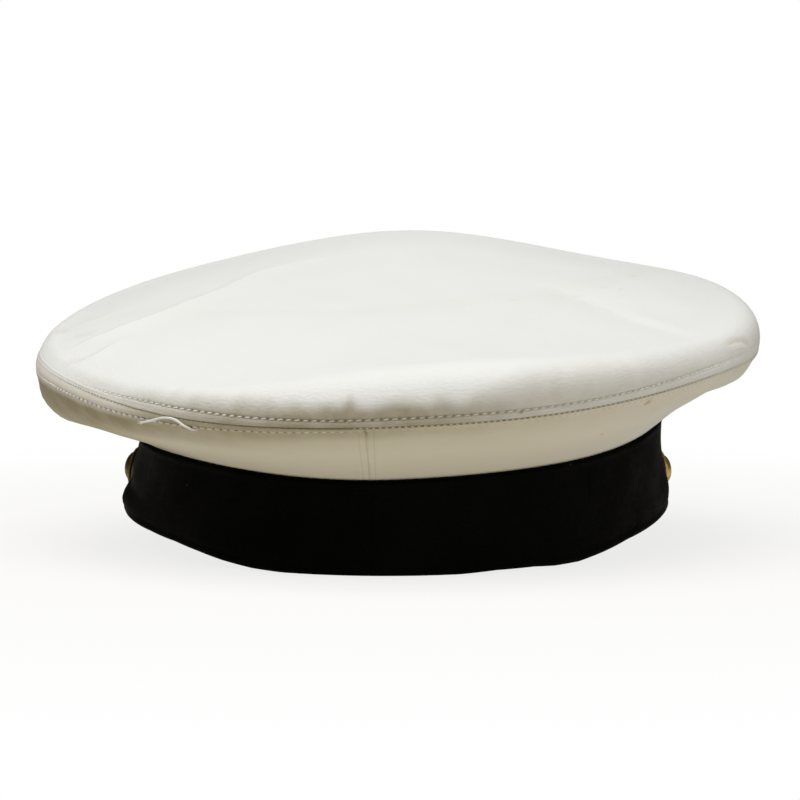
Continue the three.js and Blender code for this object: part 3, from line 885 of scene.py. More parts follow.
def spot_effect():
    """A soft round spot with an uneven edge."""
    inputs = [("Place", "vector"), ("Centre", "vector"), ("Radius", "value")]
    tree, given, out = effect("stain_spot", inputs, [("Mask", "value")])
    away = vector_of(tree, "DISTANCE", given["Place"], given["Centre"])["Value"]
    rough = ramp_of(tree, noise_of(tree, given["Place"], 420.0, 3.0), 0.3, 0.7, 0.6, 1.5)
    share = sum_of(tree, "DIVIDE", sum_of(tree, "MULTIPLY", away, rough), given["Radius"])
    feed(tree, out["Mask"], ramp_of(tree, share, 0.15, 1.0, 1.0, 0.0))
    return tree


def lint_effect():
    """Sparse pale specks of lint."""
    inputs = [("Place", "vector"), ("Scale", "value"), ("Size", "value")]
    tree, given, out = effect("lint_specks", inputs, [("Mask", "value")])
    cells = put(tree, "ShaderNodeTexVoronoi", None, Vector=given["Place"], Scale=given["Scale"])
    near = sum_of(tree, "LESS_THAN", cells.outputs["Distance"], given["Size"])
    pick = put(tree, "ShaderNodeSeparateColor", None, Color=cells.outputs["Color"]).outputs[0]
    feed(tree, out["Mask"], sum_of(tree, "MULTIPLY", near, sum_of(tree, "GREATER_THAN", pick, 0.86)))
    return tree


def handling_effect():
    """Fine uneven wear, as fingers and cloths leave it: about 0 to 1."""
    tree, given, out = effect("fine_wear", [("Place", "vector"), ("Scale", "value")], [("Wear", "value")])
    broad = noise_of(tree, given["Place"], given["Scale"], 5.0, 0.62)
    fine = noise_of(tree, given["Place"], sum_of(tree, "MULTIPLY", given["Scale"], 9.0), 2.0)
    feed(tree, out["Wear"], ramp_of(tree, sum_of(tree, "MULTIPLY_ADD", fine, 0.35, broad), 0.45, 0.95))
    return tree


WEAVE = weave_effect()
PATCHY_TINT = patchy_tint_effect()
NEEDLES = needle_effect()
SPOT = spot_effect()
LINT = lint_effect()
HANDLING = handling_effect()


# Finishes

def finish_of(name, **settings):
    """A new material's tree and its Principled shader, with the plain values set on the shader itself."""
    material = bpy.data.materials.new(name)
    material.use_nodes = True
    tree = material.node_tree
    tree.nodes.clear()
    shader = put(tree, "ShaderNodeBsdfPrincipled", None, **settings)
    surface = put(tree, "ShaderNodeOutputMaterial")
    tree.links.new(shader.outputs[0], surface.inputs["Surface"])
    return material, tree, shader


def map_of(tree, label):
    return put(tree, "ShaderNodeUVMap", {"uv_map": label}).outputs[0]


def mask_of(tree, label):
    return put(tree, "ShaderNodeAttribute", {"attribute_name": label}).outputs["Fac"]


def place_of(tree):
    return put(tree, "ShaderNodeTexCoord").outputs["Object"]


def raised(tree, height, strength, distance, under=None):
    """A Bump node's normal."""
    node = put(tree, "ShaderNodeBump", None, Height=height, Strength=strength, Distance=distance,
               Normal=under)
    return node.outputs[0]


def patchy(tree, cloth, scale, low, one, other):
    """A colour that drifts between two over the cloth."""
    return tint_of(tree, ramp_of(tree, noise_of(tree, cloth, scale, 4.0), low, 0.7), one, other)


def threaded(tree, weave, most, colour, between):
    """A colour with the weave's threads in it."""
    return tint_of(tree, ramp_of(tree, weave["Shade"], 0.2, 0.8, 0.0, most), colour, between)


def tinted_in_patches(tree, colour, grime, mask, place, patches):
    return use_effect(tree, PATCHY_TINT, Colour=colour, Grime=grime, Mask=mask, Place=place,
                      Patches=patches)["Colour"]


def spotted(tree, place, centre, radius, share, colour, stain):
    """A colour with one spot on it, with sizes in millimetres."""
    spot = use_effect(tree, SPOT, Place=place, Centre=(centre[0] / 1000, centre[1] / 1000, 0),
                      Radius=radius / 1000)["Mask"]
    return tint_of(tree, sum_of(tree, "MULTIPLY", spot, share), colour, stain)


def rusted(tree, seam, spots, share, colour):
    """A colour with rust marks near the edge seam."""
    for degrees, above, radius in spots:
        centre = (run_at(math.radians(degrees)), above)
        colour = spotted(tree, seam, centre, radius, share, colour, RUST)
    return colour


def linted(tree, place, scale, size, share, colour, lint):
    specks = use_effect(tree, LINT, Place=place, Scale=scale, Size=size)["Mask"]
    return tint_of(tree, sum_of(tree, "MULTIPLY", specks, share), colour, lint)


def cotton_finish(name):
    """A matt cotton: its material, tree and shader, its maps and its weave."""
    material, tree, shader = finish_of(name, Roughness=0.85, Specular_IOR_Level=0.25, Sheen_Weight=0.08,
                                       Sheen_Roughness=0.5)
    cloth, seam = map_of(tree, "Cloth"), map_of(tree, "Seam")
    weave = use_effect(tree, WEAVE, Cloth=cloth, Warp=0.00052, Weft=0.00058)
    return material, tree, shader, cloth, seam, weave


def cotton_normal(tree, cloth, weave, ripples=None):
    """Slubs and weave of the cotton, and ripples where there are any."""
    under = raised(tree, noise_of(tree, cloth, 1500.0, 2.0), 0.12, 0.0002)
    if ripples is not None:
        under = raised(tree, ripples, 0.6, 0.0004, under)
    return raised(tree, weave["Height"], 0.22, 0.00012, under)


def cotton_top_finish():
    material, tree, shader, cloth, seam, weave = cotton_finish("white_cotton_top")
    place = place_of(tree)
    colour = patchy(tree, cloth, 32.0, 0.35, COTTON_BRIGHT, COTTON_WHITE)
    colour = threaded(tree, weave, 0.35, colour, COTTON_BETWEEN)
    # Painted shade along the top panel's front and sides, where the cloth turns away from the light
    colour = tint_of(tree, mask_of(tree, "painted_shade"), colour, COTTON_IN_PAINTED_SHADE)
    # A line of dirt and painted shade along each crease
    from_fold = sum_of(tree, "ABSOLUTE", mask_of(tree, "from_fold"))
    near_fold = ramp_of(tree, from_fold, 0.1, 1.5, 1.0, 0.0)
    marked = sum_of(tree, "MULTIPLY", near_fold, mask_of(tree, "fold_mark"))
    colour = tint_of(tree, marked, colour, CREASE_SOIL_SHADE)
    colour = tinted_in_patches(tree, colour, COTTON_STAIN, mask_of(tree, "stain"), place, 60.0)
    for x, y, radius in TOP_SPOTS:
        colour = spotted(tree, cloth, (x, y), radius, 0.13, colour, OLD_SPOT)
    colour = rusted(tree, seam, RIM_RUST, 0.8, colour)
    # Dirt near the edge seam, with painted shade of the rim and its dents
    colour = tinted_in_patches(tree, colour, COTTON_GRIME_AND_SHADE, mask_of(tree, "soil_and_shade"), place, 110.0)
    run, above = parts_of(tree, seam)[:2]
    from_row = sum_of(tree, "SUBTRACT", above, mask_of(tree, "row"))
    marks = use_effect(tree, NEEDLES, Run=run, Away=from_row, Pitch=even_pitch("upper") / 1000, Size=0.0006)
    pricks = sum_of(tree, "MULTIPLY", marks["Mask"], mask_of(tree, "pricked"))
    colour = tint_of(tree, pricks, colour, SEAM_BROWN)
    feed(tree, shader.inputs["Base Color"], tint_of(tree, mask_of(tree, "seam"), colour, SEAM_BROWN))
    along_rim = vector_of(tree, "MULTIPLY", seam, (0.4, 1.0, 0.0))[0]
    rim_only = ramp_of(tree, above, 0.010, 0.022, 1.0, 0.0)
    ripples = sum_of(tree, "MULTIPLY", noise_of(tree, along_rim, 1300.0, 2.0), rim_only)
    feed(tree, shader.inputs["Normal"], cotton_normal(tree, cloth, weave, ripples))
    return material


def cotton_side_finish():
    material, tree, shader, cloth, seam, weave = cotton_finish("white_cotton_side")
    # The side panel's yellow, partly ageing and partly painted warm shade, laid on by the stain mask
    aged_warm_shade = patchy(tree, cloth, 28.0, 0.3, AGED_WARM_SHADE_PALE, COTTON_AGED_WARM_SHADE)
    colour = tint_of(tree, mask_of(tree, "stain"), COTTON_PLAIN, aged_warm_shade)
    colour = threaded(tree, weave, 0.3, colour, AGED_WARM_SHADE_BETWEEN)
    # Dirt of the side panel, with painted shadow close under the edge seam
    colour = tinted_in_patches(tree, colour, COTTON_GRIME_AND_SHADE, mask_of(tree, "soil_and_shade"), place_of(tree), 90.0)
    colour = rusted(tree, seam, SIDE_RUST, 0.5, colour)
    run, above = parts_of(tree, seam)[:2]
    from_row = sum_of(tree, "ADD", above, mask_of(tree, "low_row"))
    marks = use_effect(tree, NEEDLES, Run=run, Away=from_row, Pitch=even_pitch("lower") / 1000, Size=0.0005)
    shown = sum_of(tree, "MULTIPLY", marks["Mask"], mask_of(tree, "lower_row"))
    beside, below = parts_of(tree, map_of(tree, "Back"))[:2]
    aside = sum_of(tree, "SUBTRACT", sum_of(tree, "ABSOLUTE", beside), BACK_ROW["aside"] / 1000)
    marks = use_effect(tree, NEEDLES, Run=below, Away=aside, Pitch=BACK_ROW["pitch"] / 1000, Size=0.0003)
    pricks = sum_of(tree, "MULTIPLY_ADD", marks["Mask"], 0.28, sum_of(tree, "MULTIPLY", shown, 0.75),
                    clamp=True)
    colour = tint_of(tree, pricks, colour, SEAM_BROWN)
    feed(tree, shader.inputs["Base Color"], tint_of(tree, mask_of(tree, "seam"), colour, SEAM_BROWN))
    feed(tree, shader.inputs["Normal"], cotton_normal(tree, cloth, weave))
    return material


def thread_finish():
    material, tree, shader = finish_of("white_sewing_thread", Roughness=0.6, Specular_IOR_Level=0.35,
                                       Sheen_Weight=0.1)
    place = place_of(tree)
    twist = put(tree, "ShaderNodeTexWave", {"bands_direction": "DIAGONAL"}, Vector=place, Scale=900.0,
                Distortion=1.0)
    # Dirt of the thread, with painted shade on the stitches at the back of the rim
    colour = tinted_in_patches(tree, THREAD_WHITE, THREAD_GRIME_AND_SHADE, mask_of(tree, "soil_and_shade"), place, 200.0)
    feed(tree, shader.inputs["Base Color"], colour)
    feed(tree, shader.inputs["Normal"], raised(tree, twist.outputs["Fac"], 0.3, 0.0001))
    return material


def ribbon_finish():
    material, tree, shader = finish_of("black_ribbon", Specular_IOR_Level=0.025)
    place = place_of(tree)
    ribs = use_effect(tree, WEAVE, Cloth=map_of(tree, "Cloth"), Warp=0.00042, Weft=0.00085)
    wear = use_effect(tree, HANDLING, Place=place, Scale=38.0)["Wear"]
    colour = tint_of(tree, wear, RIBBON_BLACK, RIBBON_WORN)
    colour = threaded(tree, ribs, 0.5, colour, RIBBON_RIB)
    colour = linted(tree, place, 95.0, 0.035, 0.3, colour, RIBBON_LINT)
    feed(tree, shader.inputs["Base Color"], colour)
    feed(tree, shader.inputs["Roughness"], ramp_of(tree, wear, 0.0, 1.0, 0.68, 0.55))
    feed(tree, shader.inputs["Normal"], raised(tree, ribs["Height"], 0.35, 0.00016))
    return material


def leather_finish():
    material, tree, shader = finish_of("black_polished_leather", Specular_IOR_Level=0.5, Coat_Weight=0.6,
                                       Coat_Roughness=0.12)
    place = place_of(tree)
    grain = put(tree, "ShaderNodeTexVoronoi", {"feature": "DISTANCE_TO_EDGE"}, Vector=place, Scale=1400.0)
    wear = use_effect(tree, HANDLING, Place=place, Scale=55.0)["Wear"]
    colour = tint_of(tree, wear, LEATHER_BLACK, LEATHER_WORN)
    colour = linted(tree, place, 160.0, 0.03, 0.35, colour, LEATHER_DUST)
    feed(tree, shader.inputs["Base Color"], colour)
    feed(tree, shader.inputs["Roughness"], ramp_of(tree, wear, 0.0, 1.0, 0.2, 0.42))
    feed(tree, shader.inputs["Normal"], raised(tree, grain.outputs["Distance"], 0.06, 0.0001))
    return material


def gilt_finish(name, bright, dull):
    material, tree, shader = finish_of(name, Metallic=1.0, Specular_IOR_Level=0.5)
    place = place_of(tree)
    wear = use_effect(tree, HANDLING, Place=place, Scale=180.0)["Wear"]
    feed(tree, shader.inputs["Base Color"], tinted_in_patches(tree, bright, dull, wear, place, 420.0))
    feed(tree, shader.inputs["Roughness"], ramp_of(tree, wear, 0.0, 1.0, 0.34, 0.52))
    feed(tree, shader.inputs["Normal"], raised(tree, noise_of(tree, place, 700.0, 3.0), 0.05, 0.0002))
    return material


# Crown

# Rows of the top panel: the share of the way in past which only every so many points are kept, and the same
# for the rows of its underside
PANEL_SKIPS = ((0.88, 8), (0.68, 4), (0.42, 2), (-1, 1))
UNDERSIDE_ROWS = ((0.06, 2), (0.14, 2), (0.24, 2), (0.36, 4), (0.5, 4), (0.64, 8), (0.78, 8), (0.9, 16))

# Rows of the rim: shares of the strip under the stitch row, then ways over the row
STRIP_SHARES = (0, 0.15, 0.3, 0.46, 0.62, 0.74, 0.84, 0.92, 0.97, 1)
OVER_ROW = (0.15, 0.3, 0.5, 0.75, 1.05, 1.4, 1.9, 2.5, 3.2)

# Rows of the side panel: ways below the edge seam, and shares of the way up its inner face
UNDER_SEAM = (LIP, 0.7, 0.95, 1.2, 1.42, 1.6, 1.75, 1.88, 2.0, 2.12, 2.25, 2.42, 2.65, 3.0, 3.5, 4.1, 4.8,
              5.6, 6.5, 8)
INNER_SHARES = (0.0, 0.15, 0.35, 0.55, 0.75, 0.9, 0.99)

TOP_LOOKS = ("soil_and_shade", "stain", "seam", "painted_shade", "from_fold", "fold_mark")
SIDE_LOOKS = ("soil_and_shade", "stain", "seam")
LOWER_GIRTH = 600


def lip(edge, out, towards_seam):
    """Rows of a cloth edge that is turned in at a seam."""
    heart = edge - out * LIP
    return [heart + LIP * (out * math.cos(t) + towards_seam * math.sin(t)) for t in LIP_TURNS]


def make_crown_top(material):
    fine = angles_round(ROUND["crown"])
    rows = []

    def add(points, angle, plan, above, **looks):
        plain = {label: 0 * angle for label in TOP_LOOKS}
        plain["from_fold"] = 0 * angle + NO_FOLD_NEAR
        rows.append({"points": points, "angle": angle, "plan": plan, "above": above, **plain, **looks})

    def panel_row(inward, angle, sunk):
        point = top_at(angle, 0 * angle + inward)
        turned = 1 - (1 - inward) ** TOP["fold_turn"]
        point[:, 2] += crease_rise(point[:, 0], point[:, 1]) * turned - sunk
        return point

    for inward in np.concatenate([np.linspace(0.985, 0.72, 9), np.linspace(0.69, 0.0, 46)[:-1]]):
        angle = fine[::next(skip for past, skip in PANEL_SKIPS if inward > past)]
        point = panel_row(inward, angle, 0)
        x, y = point[:, 0], point[:, 1]
        from_stain = from_line(x, y, STAIN_LINE)[0]
        from_fold, mark = crease_marks(x, y)
        add(point, angle, point[:, :2], rim_length(angle) + inward * 100,
            stain=0.05 * mound(from_stain, 0, 6), painted_shade=painted_shade_at(angle, inward),
            from_fold=from_fold, fold_mark=mark * ease(inward, 0, 0.06))

    angle = fine
    row, arc = top_row_above(angle), rim_length(angle)
    heights = [blend(0 * row + LIP, row, share) for share in STRIP_SHARES]
    heights += [row + over for over in OVER_ROW]
    heights += [blend(row + OVER_ROW[-1], arc, share) for share in np.linspace(0, 1, 11)[1:]]
    edge_plan = rim_at(angle, arc)[:, :2]
    way = unit(edge_plan)
    for above in heights[::-1]:
        out = facing(rim_at, angle, above)
        point = rim_at(angle, above) + out * rim_relief(angle, above)[:, None]
        add(point, angle, edge_plan + way * (arc - above)[:, None], above, soil_and_shade=rim_soil_and_shade(angle, above),
            stain=0.5 * from_tuck(angle, above, 0.8), painted_shade=painted_shade_at(angle, 0))
    edge, out = rows[-1]["points"], facing(rim_at, angle, 0 * angle + LIP)
    down = unit(rim_at(angle, 0 * angle) - rim_at(angle, 0 * angle + LIP))
    for point in lip(edge, out, down):
        looks = {"above": 0 * angle, "stain": 0 * angle, "seam": seam_dark(angle)}
        rows.append({**rows[-1], "points": point, **looks})
    for above in (0 * arc + 0.4, 0 * arc + 3, 0.5 * arc, arc):
        out = facing(rim_at, angle, above)
        inside = rim_at(angle, above) + out * (rim_form(angle, above) - CLOTH)[:, None]
        rows.append({**rows[-1], "points": inside, "above": above})
    for inward, skip in UNDERSIDE_ROWS:
        angle = fine[::skip]
        point = panel_row(inward, angle, CLOTH)
        add(point, angle, point[:, :2], 0 * angle + 50)

    maps = {"Cloth": [closed(r["plan"]) / 1000 for r in rows],
            "Seam": [seam_map(r["angle"], r["above"] + 0 * r["angle"]) for r in rows]}
    masks = {label: [r[label] for r in rows] for label in TOP_LOOKS}
    masks["row"] = [top_row_above(r["angle"]) / 1000 for r in rows]
    masks["pricked"] = [pricked_at(r["angle"]) for r in rows]
    mesh = skin("crown_top_cloth", [seated(r["points"]) for r in rows], False, maps, masks)
    return link_piece(mesh, material, "crown_top")


def make_crown_side(material):
    seam_start = math.radians(BACK_SEAM["angle"][0])
    base = angles_round(ROUND["crown"], seam_start)
    samples = np.linspace(0, 1, 161)
    line = np.stack([side_at(base, 0 * base + 1 - t) for t in samples])
    steps = np.linalg.norm(np.diff(line, axis=0), axis=2)
    ways = np.concatenate([np.zeros((1, len(base))), np.cumsum(steps, axis=0)])
    belows = [n + (low_row_below(base) - 2) * ease(n, LIP, 1.6) * fade(n, 3, 8) for n in UNDER_SEAM]
    belows += [blend(UNDER_SEAM[-1], ways[-1], share) for share in np.linspace(0, 1, 17)[1:]]
    rows = []
    for below in belows:
        down = np.array([np.interp(b, ways[:, i], samples) for i, b in enumerate(below)])
        angle = base + (back_seam_angle(down) - seam_start) * mound(base, 0, math.radians(7))
        out = facing(side_at, angle, 1 - down)
        point = side_at(angle, 1 - down)
        beside = (angle - back_seam_angle(down)) * np.hypot(point[:, 0], point[:, 1])
        relief = side_relief(angle, below, beside) - drawn_in(angle, ways[-1] - below)
        point = point + out * (relief * fade(down, 0.9, 1))[:, None]
        # The side panel's yellowing for its stain mask: partly ageing, partly painted warm shade
        yellowed_warm_shade = by_angle(SEAM_LOOK, "yellowed_warm_shade", angle) * (1 - 0.8 * kept_clean(angle, below))
        rows.append({"points": point, "angle": angle, "below": below, "beside": beside,
                     "soil_and_shade": side_soil_and_shade(angle, below, beside), "stain": yellowed_warm_shade, "seam": 0 * angle})
    angle = rows[0]["angle"]
    out = facing(side_at, angle, 0 * angle + 0.995)
    up = unit(side_at(angle, 0 * angle + 1) - side_at(angle, 0 * angle + 0.99))
    edge = [{**rows[0], "points": point, "below": 0 * angle, "seam": seam_dark(angle)}
            for point in lip(rows[0]["points"], out, up)]
    inner = []
    for share in INNER_SHARES:
        out = facing(side_at, base, 0 * base + max(share, 0.002))
        stands = side_form(base, (1 - share) * ways[-1])
        stands = stands - drawn_in(base, share * ways[-1]) * ease(share, 0, 0.15)
        point = side_at(base, 0 * base + share) + out * (stands - CLOTH)[:, None]
        inner.append({**rows[-1], "points": point, "angle": base})
    rows = edge[::-1] + rows + inner

    shrunk = (0.5 * (SEAM_RUN[-1] + LOWER_GIRTH) / SEAM_RUN[-1], 1)
    maps = {"Seam": [seam_map(r["angle"], -r["below"]) for r in rows],
            "Back": [np.stack([np.append(r["beside"], 400.0), closed(r["below"])], -1) / 1000 for r in rows]}
    maps = {"Cloth": [row * shrunk for row in maps["Seam"]], **maps}
    masks = {label: [r[label] for r in rows] for label in SIDE_LOOKS}
    masks["lower_row"] = [by_angle(SEAM_LOOK, "lower_row", r["angle"]) for r in rows]
    masks["low_row"] = [low_row_below(r["angle"]) / 1000 for r in rows]
    mesh = skin("crown_side_cloth", [seated(r["points"]) for r in rows], True, maps, masks)
    return link_piece(mesh, material, "crown_side")


# Stitching

def row_of_stitches(row, surface, lift, soil_and_shade):
    """Stitches along the edge seam: each rises out of the cloth, lies on it and goes back in.

    lift gives how far each stitch lies off the cloth, and soil_and_shade how dark it is, with dirt and
    painted shade, by its angle.
    """
    stitch, pitch = STITCHES[row], even_pitch(row)
    count = round(SEAM_RUN[-1] / pitch)
    middles = (np.arange(count) + 0.5) * pitch
    shares = np.array([-1, -0.72, -0.3, 0.3, 0.72, 1])
    sinks = np.array([0.5, 0.12, 0, 0, 0.12, 0.5])
    uneven = 0.06 * np.sin(np.arange(count) * 2.399) + 0.05 * np.sin(np.arange(count) * 0.71)
    runs = middles[:, None] + (stitch["length"] / 2) * (1 + uneven[:, None]) * shares
    angle = angle_at(np.mod(runs, SEAM_RUN[-1]))
    place, out = surface(angle, stitch["slant"] * shares + 0.25 * uneven[:, None])
    paths = place + out * (lift(angle) - sinks * stitch["radius"] * 2)[..., None]
    points, faces = tubes(paths, out, stitch["radius"])
    return points, faces, np.repeat(soil_and_shade(angle[:, 0]), len(points) // count)


def on_rim(angle, above):
    """A point of the rim's cloth and its facing."""
    out = facing(rim_at, angle, above)
    return rim_at(angle, above) + out * rim_form(angle, above)[..., None], out


def on_top_row(angle, aside):
    return on_rim(angle, top_row_above(angle) + aside)


def on_seam(angle, aside):
    return on_rim(angle, 0 * angle + aside)


def down_at(angle, below):
    """The share of the way down the side panel that lies so far below the edge seam."""
    shares = np.linspace(0, 0.7, 57)
    line = np.stack([side_at(angle, 1 - s + 0 * angle) for s in shares])
    steps = np.linalg.norm(np.diff(line, axis=0), axis=-1)
    ways = np.concatenate([0 * steps[:1], np.cumsum(steps, axis=0)])
    i = np.clip((ways <= below).sum(0) - 1, 0, len(shares) - 2)[None]
    start, step = np.take_along_axis(ways, i, 0)[0], np.take_along_axis(steps, i, 0)[0]
    return (i[0] + (below - start) / step) * shares[1]


def on_lower_row(angle, aside):
    """A point of the cloth and its facing, so far below the middle of the lower stitch row."""
    below = low_row_below(angle) + aside
    up = 1 - down_at(angle, np.maximum(below, 0.05))
    out = facing(side_at, angle, up)
    low = side_at(angle, up) + out * side_form(angle, below)[..., None]
    over = np.maximum(-below, 0)
    return np.where(below[..., None] < 0, rim_at(angle, over), low), out


def smooth_row(values, steps):
    """Values at fractional steps on a smooth line through a short row."""
    i = np.clip(steps.astype(int), 0, len(values) - 2)
    t = steps - i
    padded = np.concatenate([[2 * values[0] - values[1]], values, [2 * values[-1] - values[-2]]])
    a, b, c, d = (padded[i + k] for k in range(4))
    return b + 0.5 * t * (c - a + t * (2 * a - 5 * b + 4 * c - d + t * (3 * (b - c) + d - a)))


def loose_thread():
    """A thread end that has come out of the seam, lies over it and frays."""
    table = np.array(LOOSE_THREAD)
    steps = np.linspace(0, len(table) - 1, 49)
    degrees, below, lift = (smooth_row(table[:, i], steps) for i in range(3))
    angle = np.radians(degrees)
    place, out = on_lower_row(angle, below - low_row_below(angle))
    line = place + out * (lift + 0.35)[:, None]
    parts = [tubes(line[None], out[None], 0.4, (0.7, 1, 1, 1, 1, 0.9))]
    ahead = unit(line[-1] - line[-4])
    across = np.cross(out[-1], ahead)
    way = np.linspace(0, 1, 7)[:, None]
    for aside, rise, length in FRAYED:
        bend = across * aside * way ** 1.5 * length + out[-1] * rise * way ** 2 * length
        fibre = line[-2] + ahead * way * length + bend
        parts.append(tubes(fibre[None], np.repeat(out[-1][None, None], 7, 1), 0.13, (1, 1, 0.9, 0.7, 0.4)))
    return parts


def make_stitching(material):
    """The stitches of the rim, and the ties, the lower row and the loose thread of the side panel."""
    def grime(angle):
        return by_angle(GRIME_AND_SHADE, "amount", angle)

    def upper_lift(angle):
        hidden = 1 - by_angle(TOP_ROW, "shown", angle)
        return -0.05 - 0.3 * hidden + 0.06 * ease(np.degrees(angle), 30, 45)

    def tie_lift(angle):
        left = -np.degrees(angle)
        return -0.25 - 0.4 * ease(left, 0, 3) * (1 - 0.9 * ease(left, 33, 42)) + 0.18 * ease(-left, 52, 66)

    def lower_lift(angle):
        return -0.45 + 0.66 * by_angle(SEAM_LOOK, "lower_row", angle)

    # The upper row's thread is darker at the back: dirt, and painted shade
    def upper_soil_and_shade(angle):
        return (0.45 + 0.4 * ease(np.degrees(angle), -14, -4)) * grime(angle)

    def laid(name, parts):
        points, faces, soil_and_shade = gathered(parts)
        mesh = mesh_from(name, seated(points), faces, None, {"soil_and_shade": soil_and_shade})
        return link_piece(mesh, material)

    upper = row_of_stitches("upper", on_top_row, upper_lift, upper_soil_and_shade)
    ties = row_of_stitches("ties", on_seam, tie_lift, lambda angle: 0.35 + 0.4 * grime(angle))
    lower = row_of_stitches("lower", on_lower_row, lower_lift, lambda angle: 0.2 + 0.3 * grime(angle))
    loose = [(points, faces, np.zeros(len(points))) for points, faces in loose_thread()]
    return laid("top_stitching", [upper]), laid("side_stitching", [ties, lower, *loose])


# Band, peak, strap and buttons

def make_band(material):
    angle = angles_round(ROUND["band"])
    run, high = run_at(angle), section("band_height", angle)
    lift = by_angle(BAND_FOOT, "lift", angle)
    radius, turns = BAND_EDGE["radius"], BAND_EDGE["turns"]
    out_of_band = outward(angle, 0 * angle + 1, 0 * angle) - outward(angle, 0 * angle, 0 * angle)
    rows = []

    def face_at(share):
        edge = np.minimum(share, 1 - share) * high
        wave = 0.22 * np.sin(2 * np.pi * run / 97 + 3 * share)
        wave += 0.12 * np.sin(2 * np.pi * run / 31 - 5 * share + 1)
        return wave * ease(edge, 0, 4) + (0.22 * mound(edge, 1.3, 0.7) - 0.12 * mound(edge, 2.6, 0.5))

    def dent_at(share):
        total = 0 * angle
        for dent in BAND_DENTS:
            across = (np.degrees(angle) - dent["angle"]) / dent["half_width"]
            along = (share * high - dent["up"]) / dent["half_height"]
            total += dent["rise"] * np.exp(-across ** 2 - along ** 2)
        return total

    def add(reach, height, share):
        points = off_band(angle, reach + 0 * angle, height + 0 * angle)
        points[:, 2] += lift * (1 - share) ** 2
        points += out_of_band * dent_at(share)[:, None]
        rows.append({"points": on_table(points), "up": share * high})

    for share in (0.02, 0.035, 0.055, 0.08, *np.linspace(0.12, 0.9, 20), 0.93, 0.955, 0.972, 0.985):
        add(face_at(share), share * high, share)
    for turn in turns[::-1]:
        height = high - radius + radius * math.sin(turn)
        add(radius * (math.cos(turn) - 1), height, height / high)
    for reach in (-1.4, -2.4):
        add(reach, high, 1)
    for share in (0.97, 0.75, 0.5, 0.25, 0.04):
        add(-BAND["wall"], share * high, share)
    for reach in (-2.4, -1.4):
        add(reach, 0, 0)
    for turn in turns:
        height = radius - radius * math.sin(turn)
        add(radius * (math.cos(turn) - 1), height, height / high)
    maps = {"Cloth": [seam_map(angle, r["up"]) * (0.75, 1) for r in rows]}
    mesh = skin("band_ribbon", [seated(r["points"]) for r in rows], True, maps)
    return link_piece(mesh, material, "band")


def make_peak(material):
    rows = []
    outs = np.concatenate([np.linspace(0, 0.78, 20), np.linspace(0.8, 1, 15)])
    for along in np.linspace(0.004, 0.996, 181):
        station = np.full(len(outs), along)
        face = peak_at(station, outs)
        out = facing(peak_at, station, np.clip(outs, 0.002, 0.998), -1e-4)
        from_rim = np.linalg.norm(face - face[-1], axis=1)
        bead = 0.55 * mound(from_rim, 1.4, 1.1) - 0.3 * mound(from_rim, 3.4, 0.7)
        bead = bead * min(1, from_rim[0] / 12)
        under = on_table(face - out * PEAK["thickness"])
        face = face + out * bead[:, None]
        middle, half = (face[-1] + under[-1]) / 2, (face[-1] - under[-1]) / 2
        beyond = unit(face[-1] - face[-3]) * np.linalg.norm(half)
        turns = np.radians((30, 60, 90, 120, 150))[:, None]
        edge = middle + half * np.cos(turns) + beyond * np.sin(turns)
        rows.append(on_table(np.concatenate([face, edge, under[::-1]])))
    mesh = skin("peak_leather", [seated(r) for r in rows], False)
    return link_piece(mesh, material, "peak")


def make_chin_strap(material):
    rows = []
    ups = np.linspace(0, 1, 17)
    for along in np.linspace(0.0015, 0.9985, 241):
        station = np.full(len(ups), along)
        face = strap_at(station, ups)
        out = facing(strap_at, station, ups)
        wide = np.linalg.norm(face[-1] - face[0])
        edge = np.minimum(ups, 1 - ups) * wide
        rounded = np.exp(-edge / 0.35)
        front = face + out * (-0.16 * mound(edge, 1.7, 0.4) - 0.45 * rounded)[:, None]
        back = face - out * STRAP["thickness"] + out * (0.35 * rounded)[:, None]
        rows.append(np.concatenate([front, back[::-1]]))
    mesh = skin("chin_strap_leather", [seated(r) for r in rows], False)
    return link_piece(mesh, material, "chin_strap")


def make_button(node, material):
    """A plain domed button with a rolled rim, on the CAD button's own axis."""
    points = np.array([v.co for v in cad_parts[node].data.vertices], float) * 1000
    middle = points.mean(0)
    axis = np.linalg.svd(points - middle)[2][2]
    axis = axis * np.sign(axis[0] * middle[0])
    height = (points - middle) @ axis
    around = (points - middle) - height[:, None] * axis
    radius = np.linalg.norm(around, axis=1).max()
    foot = middle + axis * height.min()
    tall = height.max() - height.min()
    side = unit(np.cross(axis, (0, 0, 1)))
    other = np.cross(axis, side)
    bead, dome, dome_foot = 0.55, radius - 1.5, 0.6
    rim = radius - bead
    profile = [(radius * 0.5, 0), (radius - 0.5, 0)]
    for t in np.radians(np.arange(-75, 181, 25)):
        profile.append((rim + bead * math.cos(t), bead + bead * math.sin(t)))
    profile.append((rim - bead - 0.25, 0.5))
    for t in np.radians(np.arange(4, 90, 7)):
        profile.append((dome * math.cos(t), dome_foot + (tall - dome_foot) * math.sin(t)))
    turn = np.arange(72) * 2 * np.pi / 72
    ring = np.cos(turn)[:, None] * side + np.sin(turn)[:, None] * other
    rows = [(foot + ring * r + axis * h) / 1000 for r, h in profile]
    return link_piece(skin(node + "_gilt", rows, False), material, node)


cotton_top = cotton_top_finish()
cotton_side = cotton_side_finish()
thread = thread_finish()
ribbon = ribbon_finish()
leather = leather_finish()
gilt = gilt_finish("worn_gilt", **GILT)
gilt_in_shade = gilt_finish("gilt_in_painted_shade", **GILT_IN_PAINTED_SHADE)

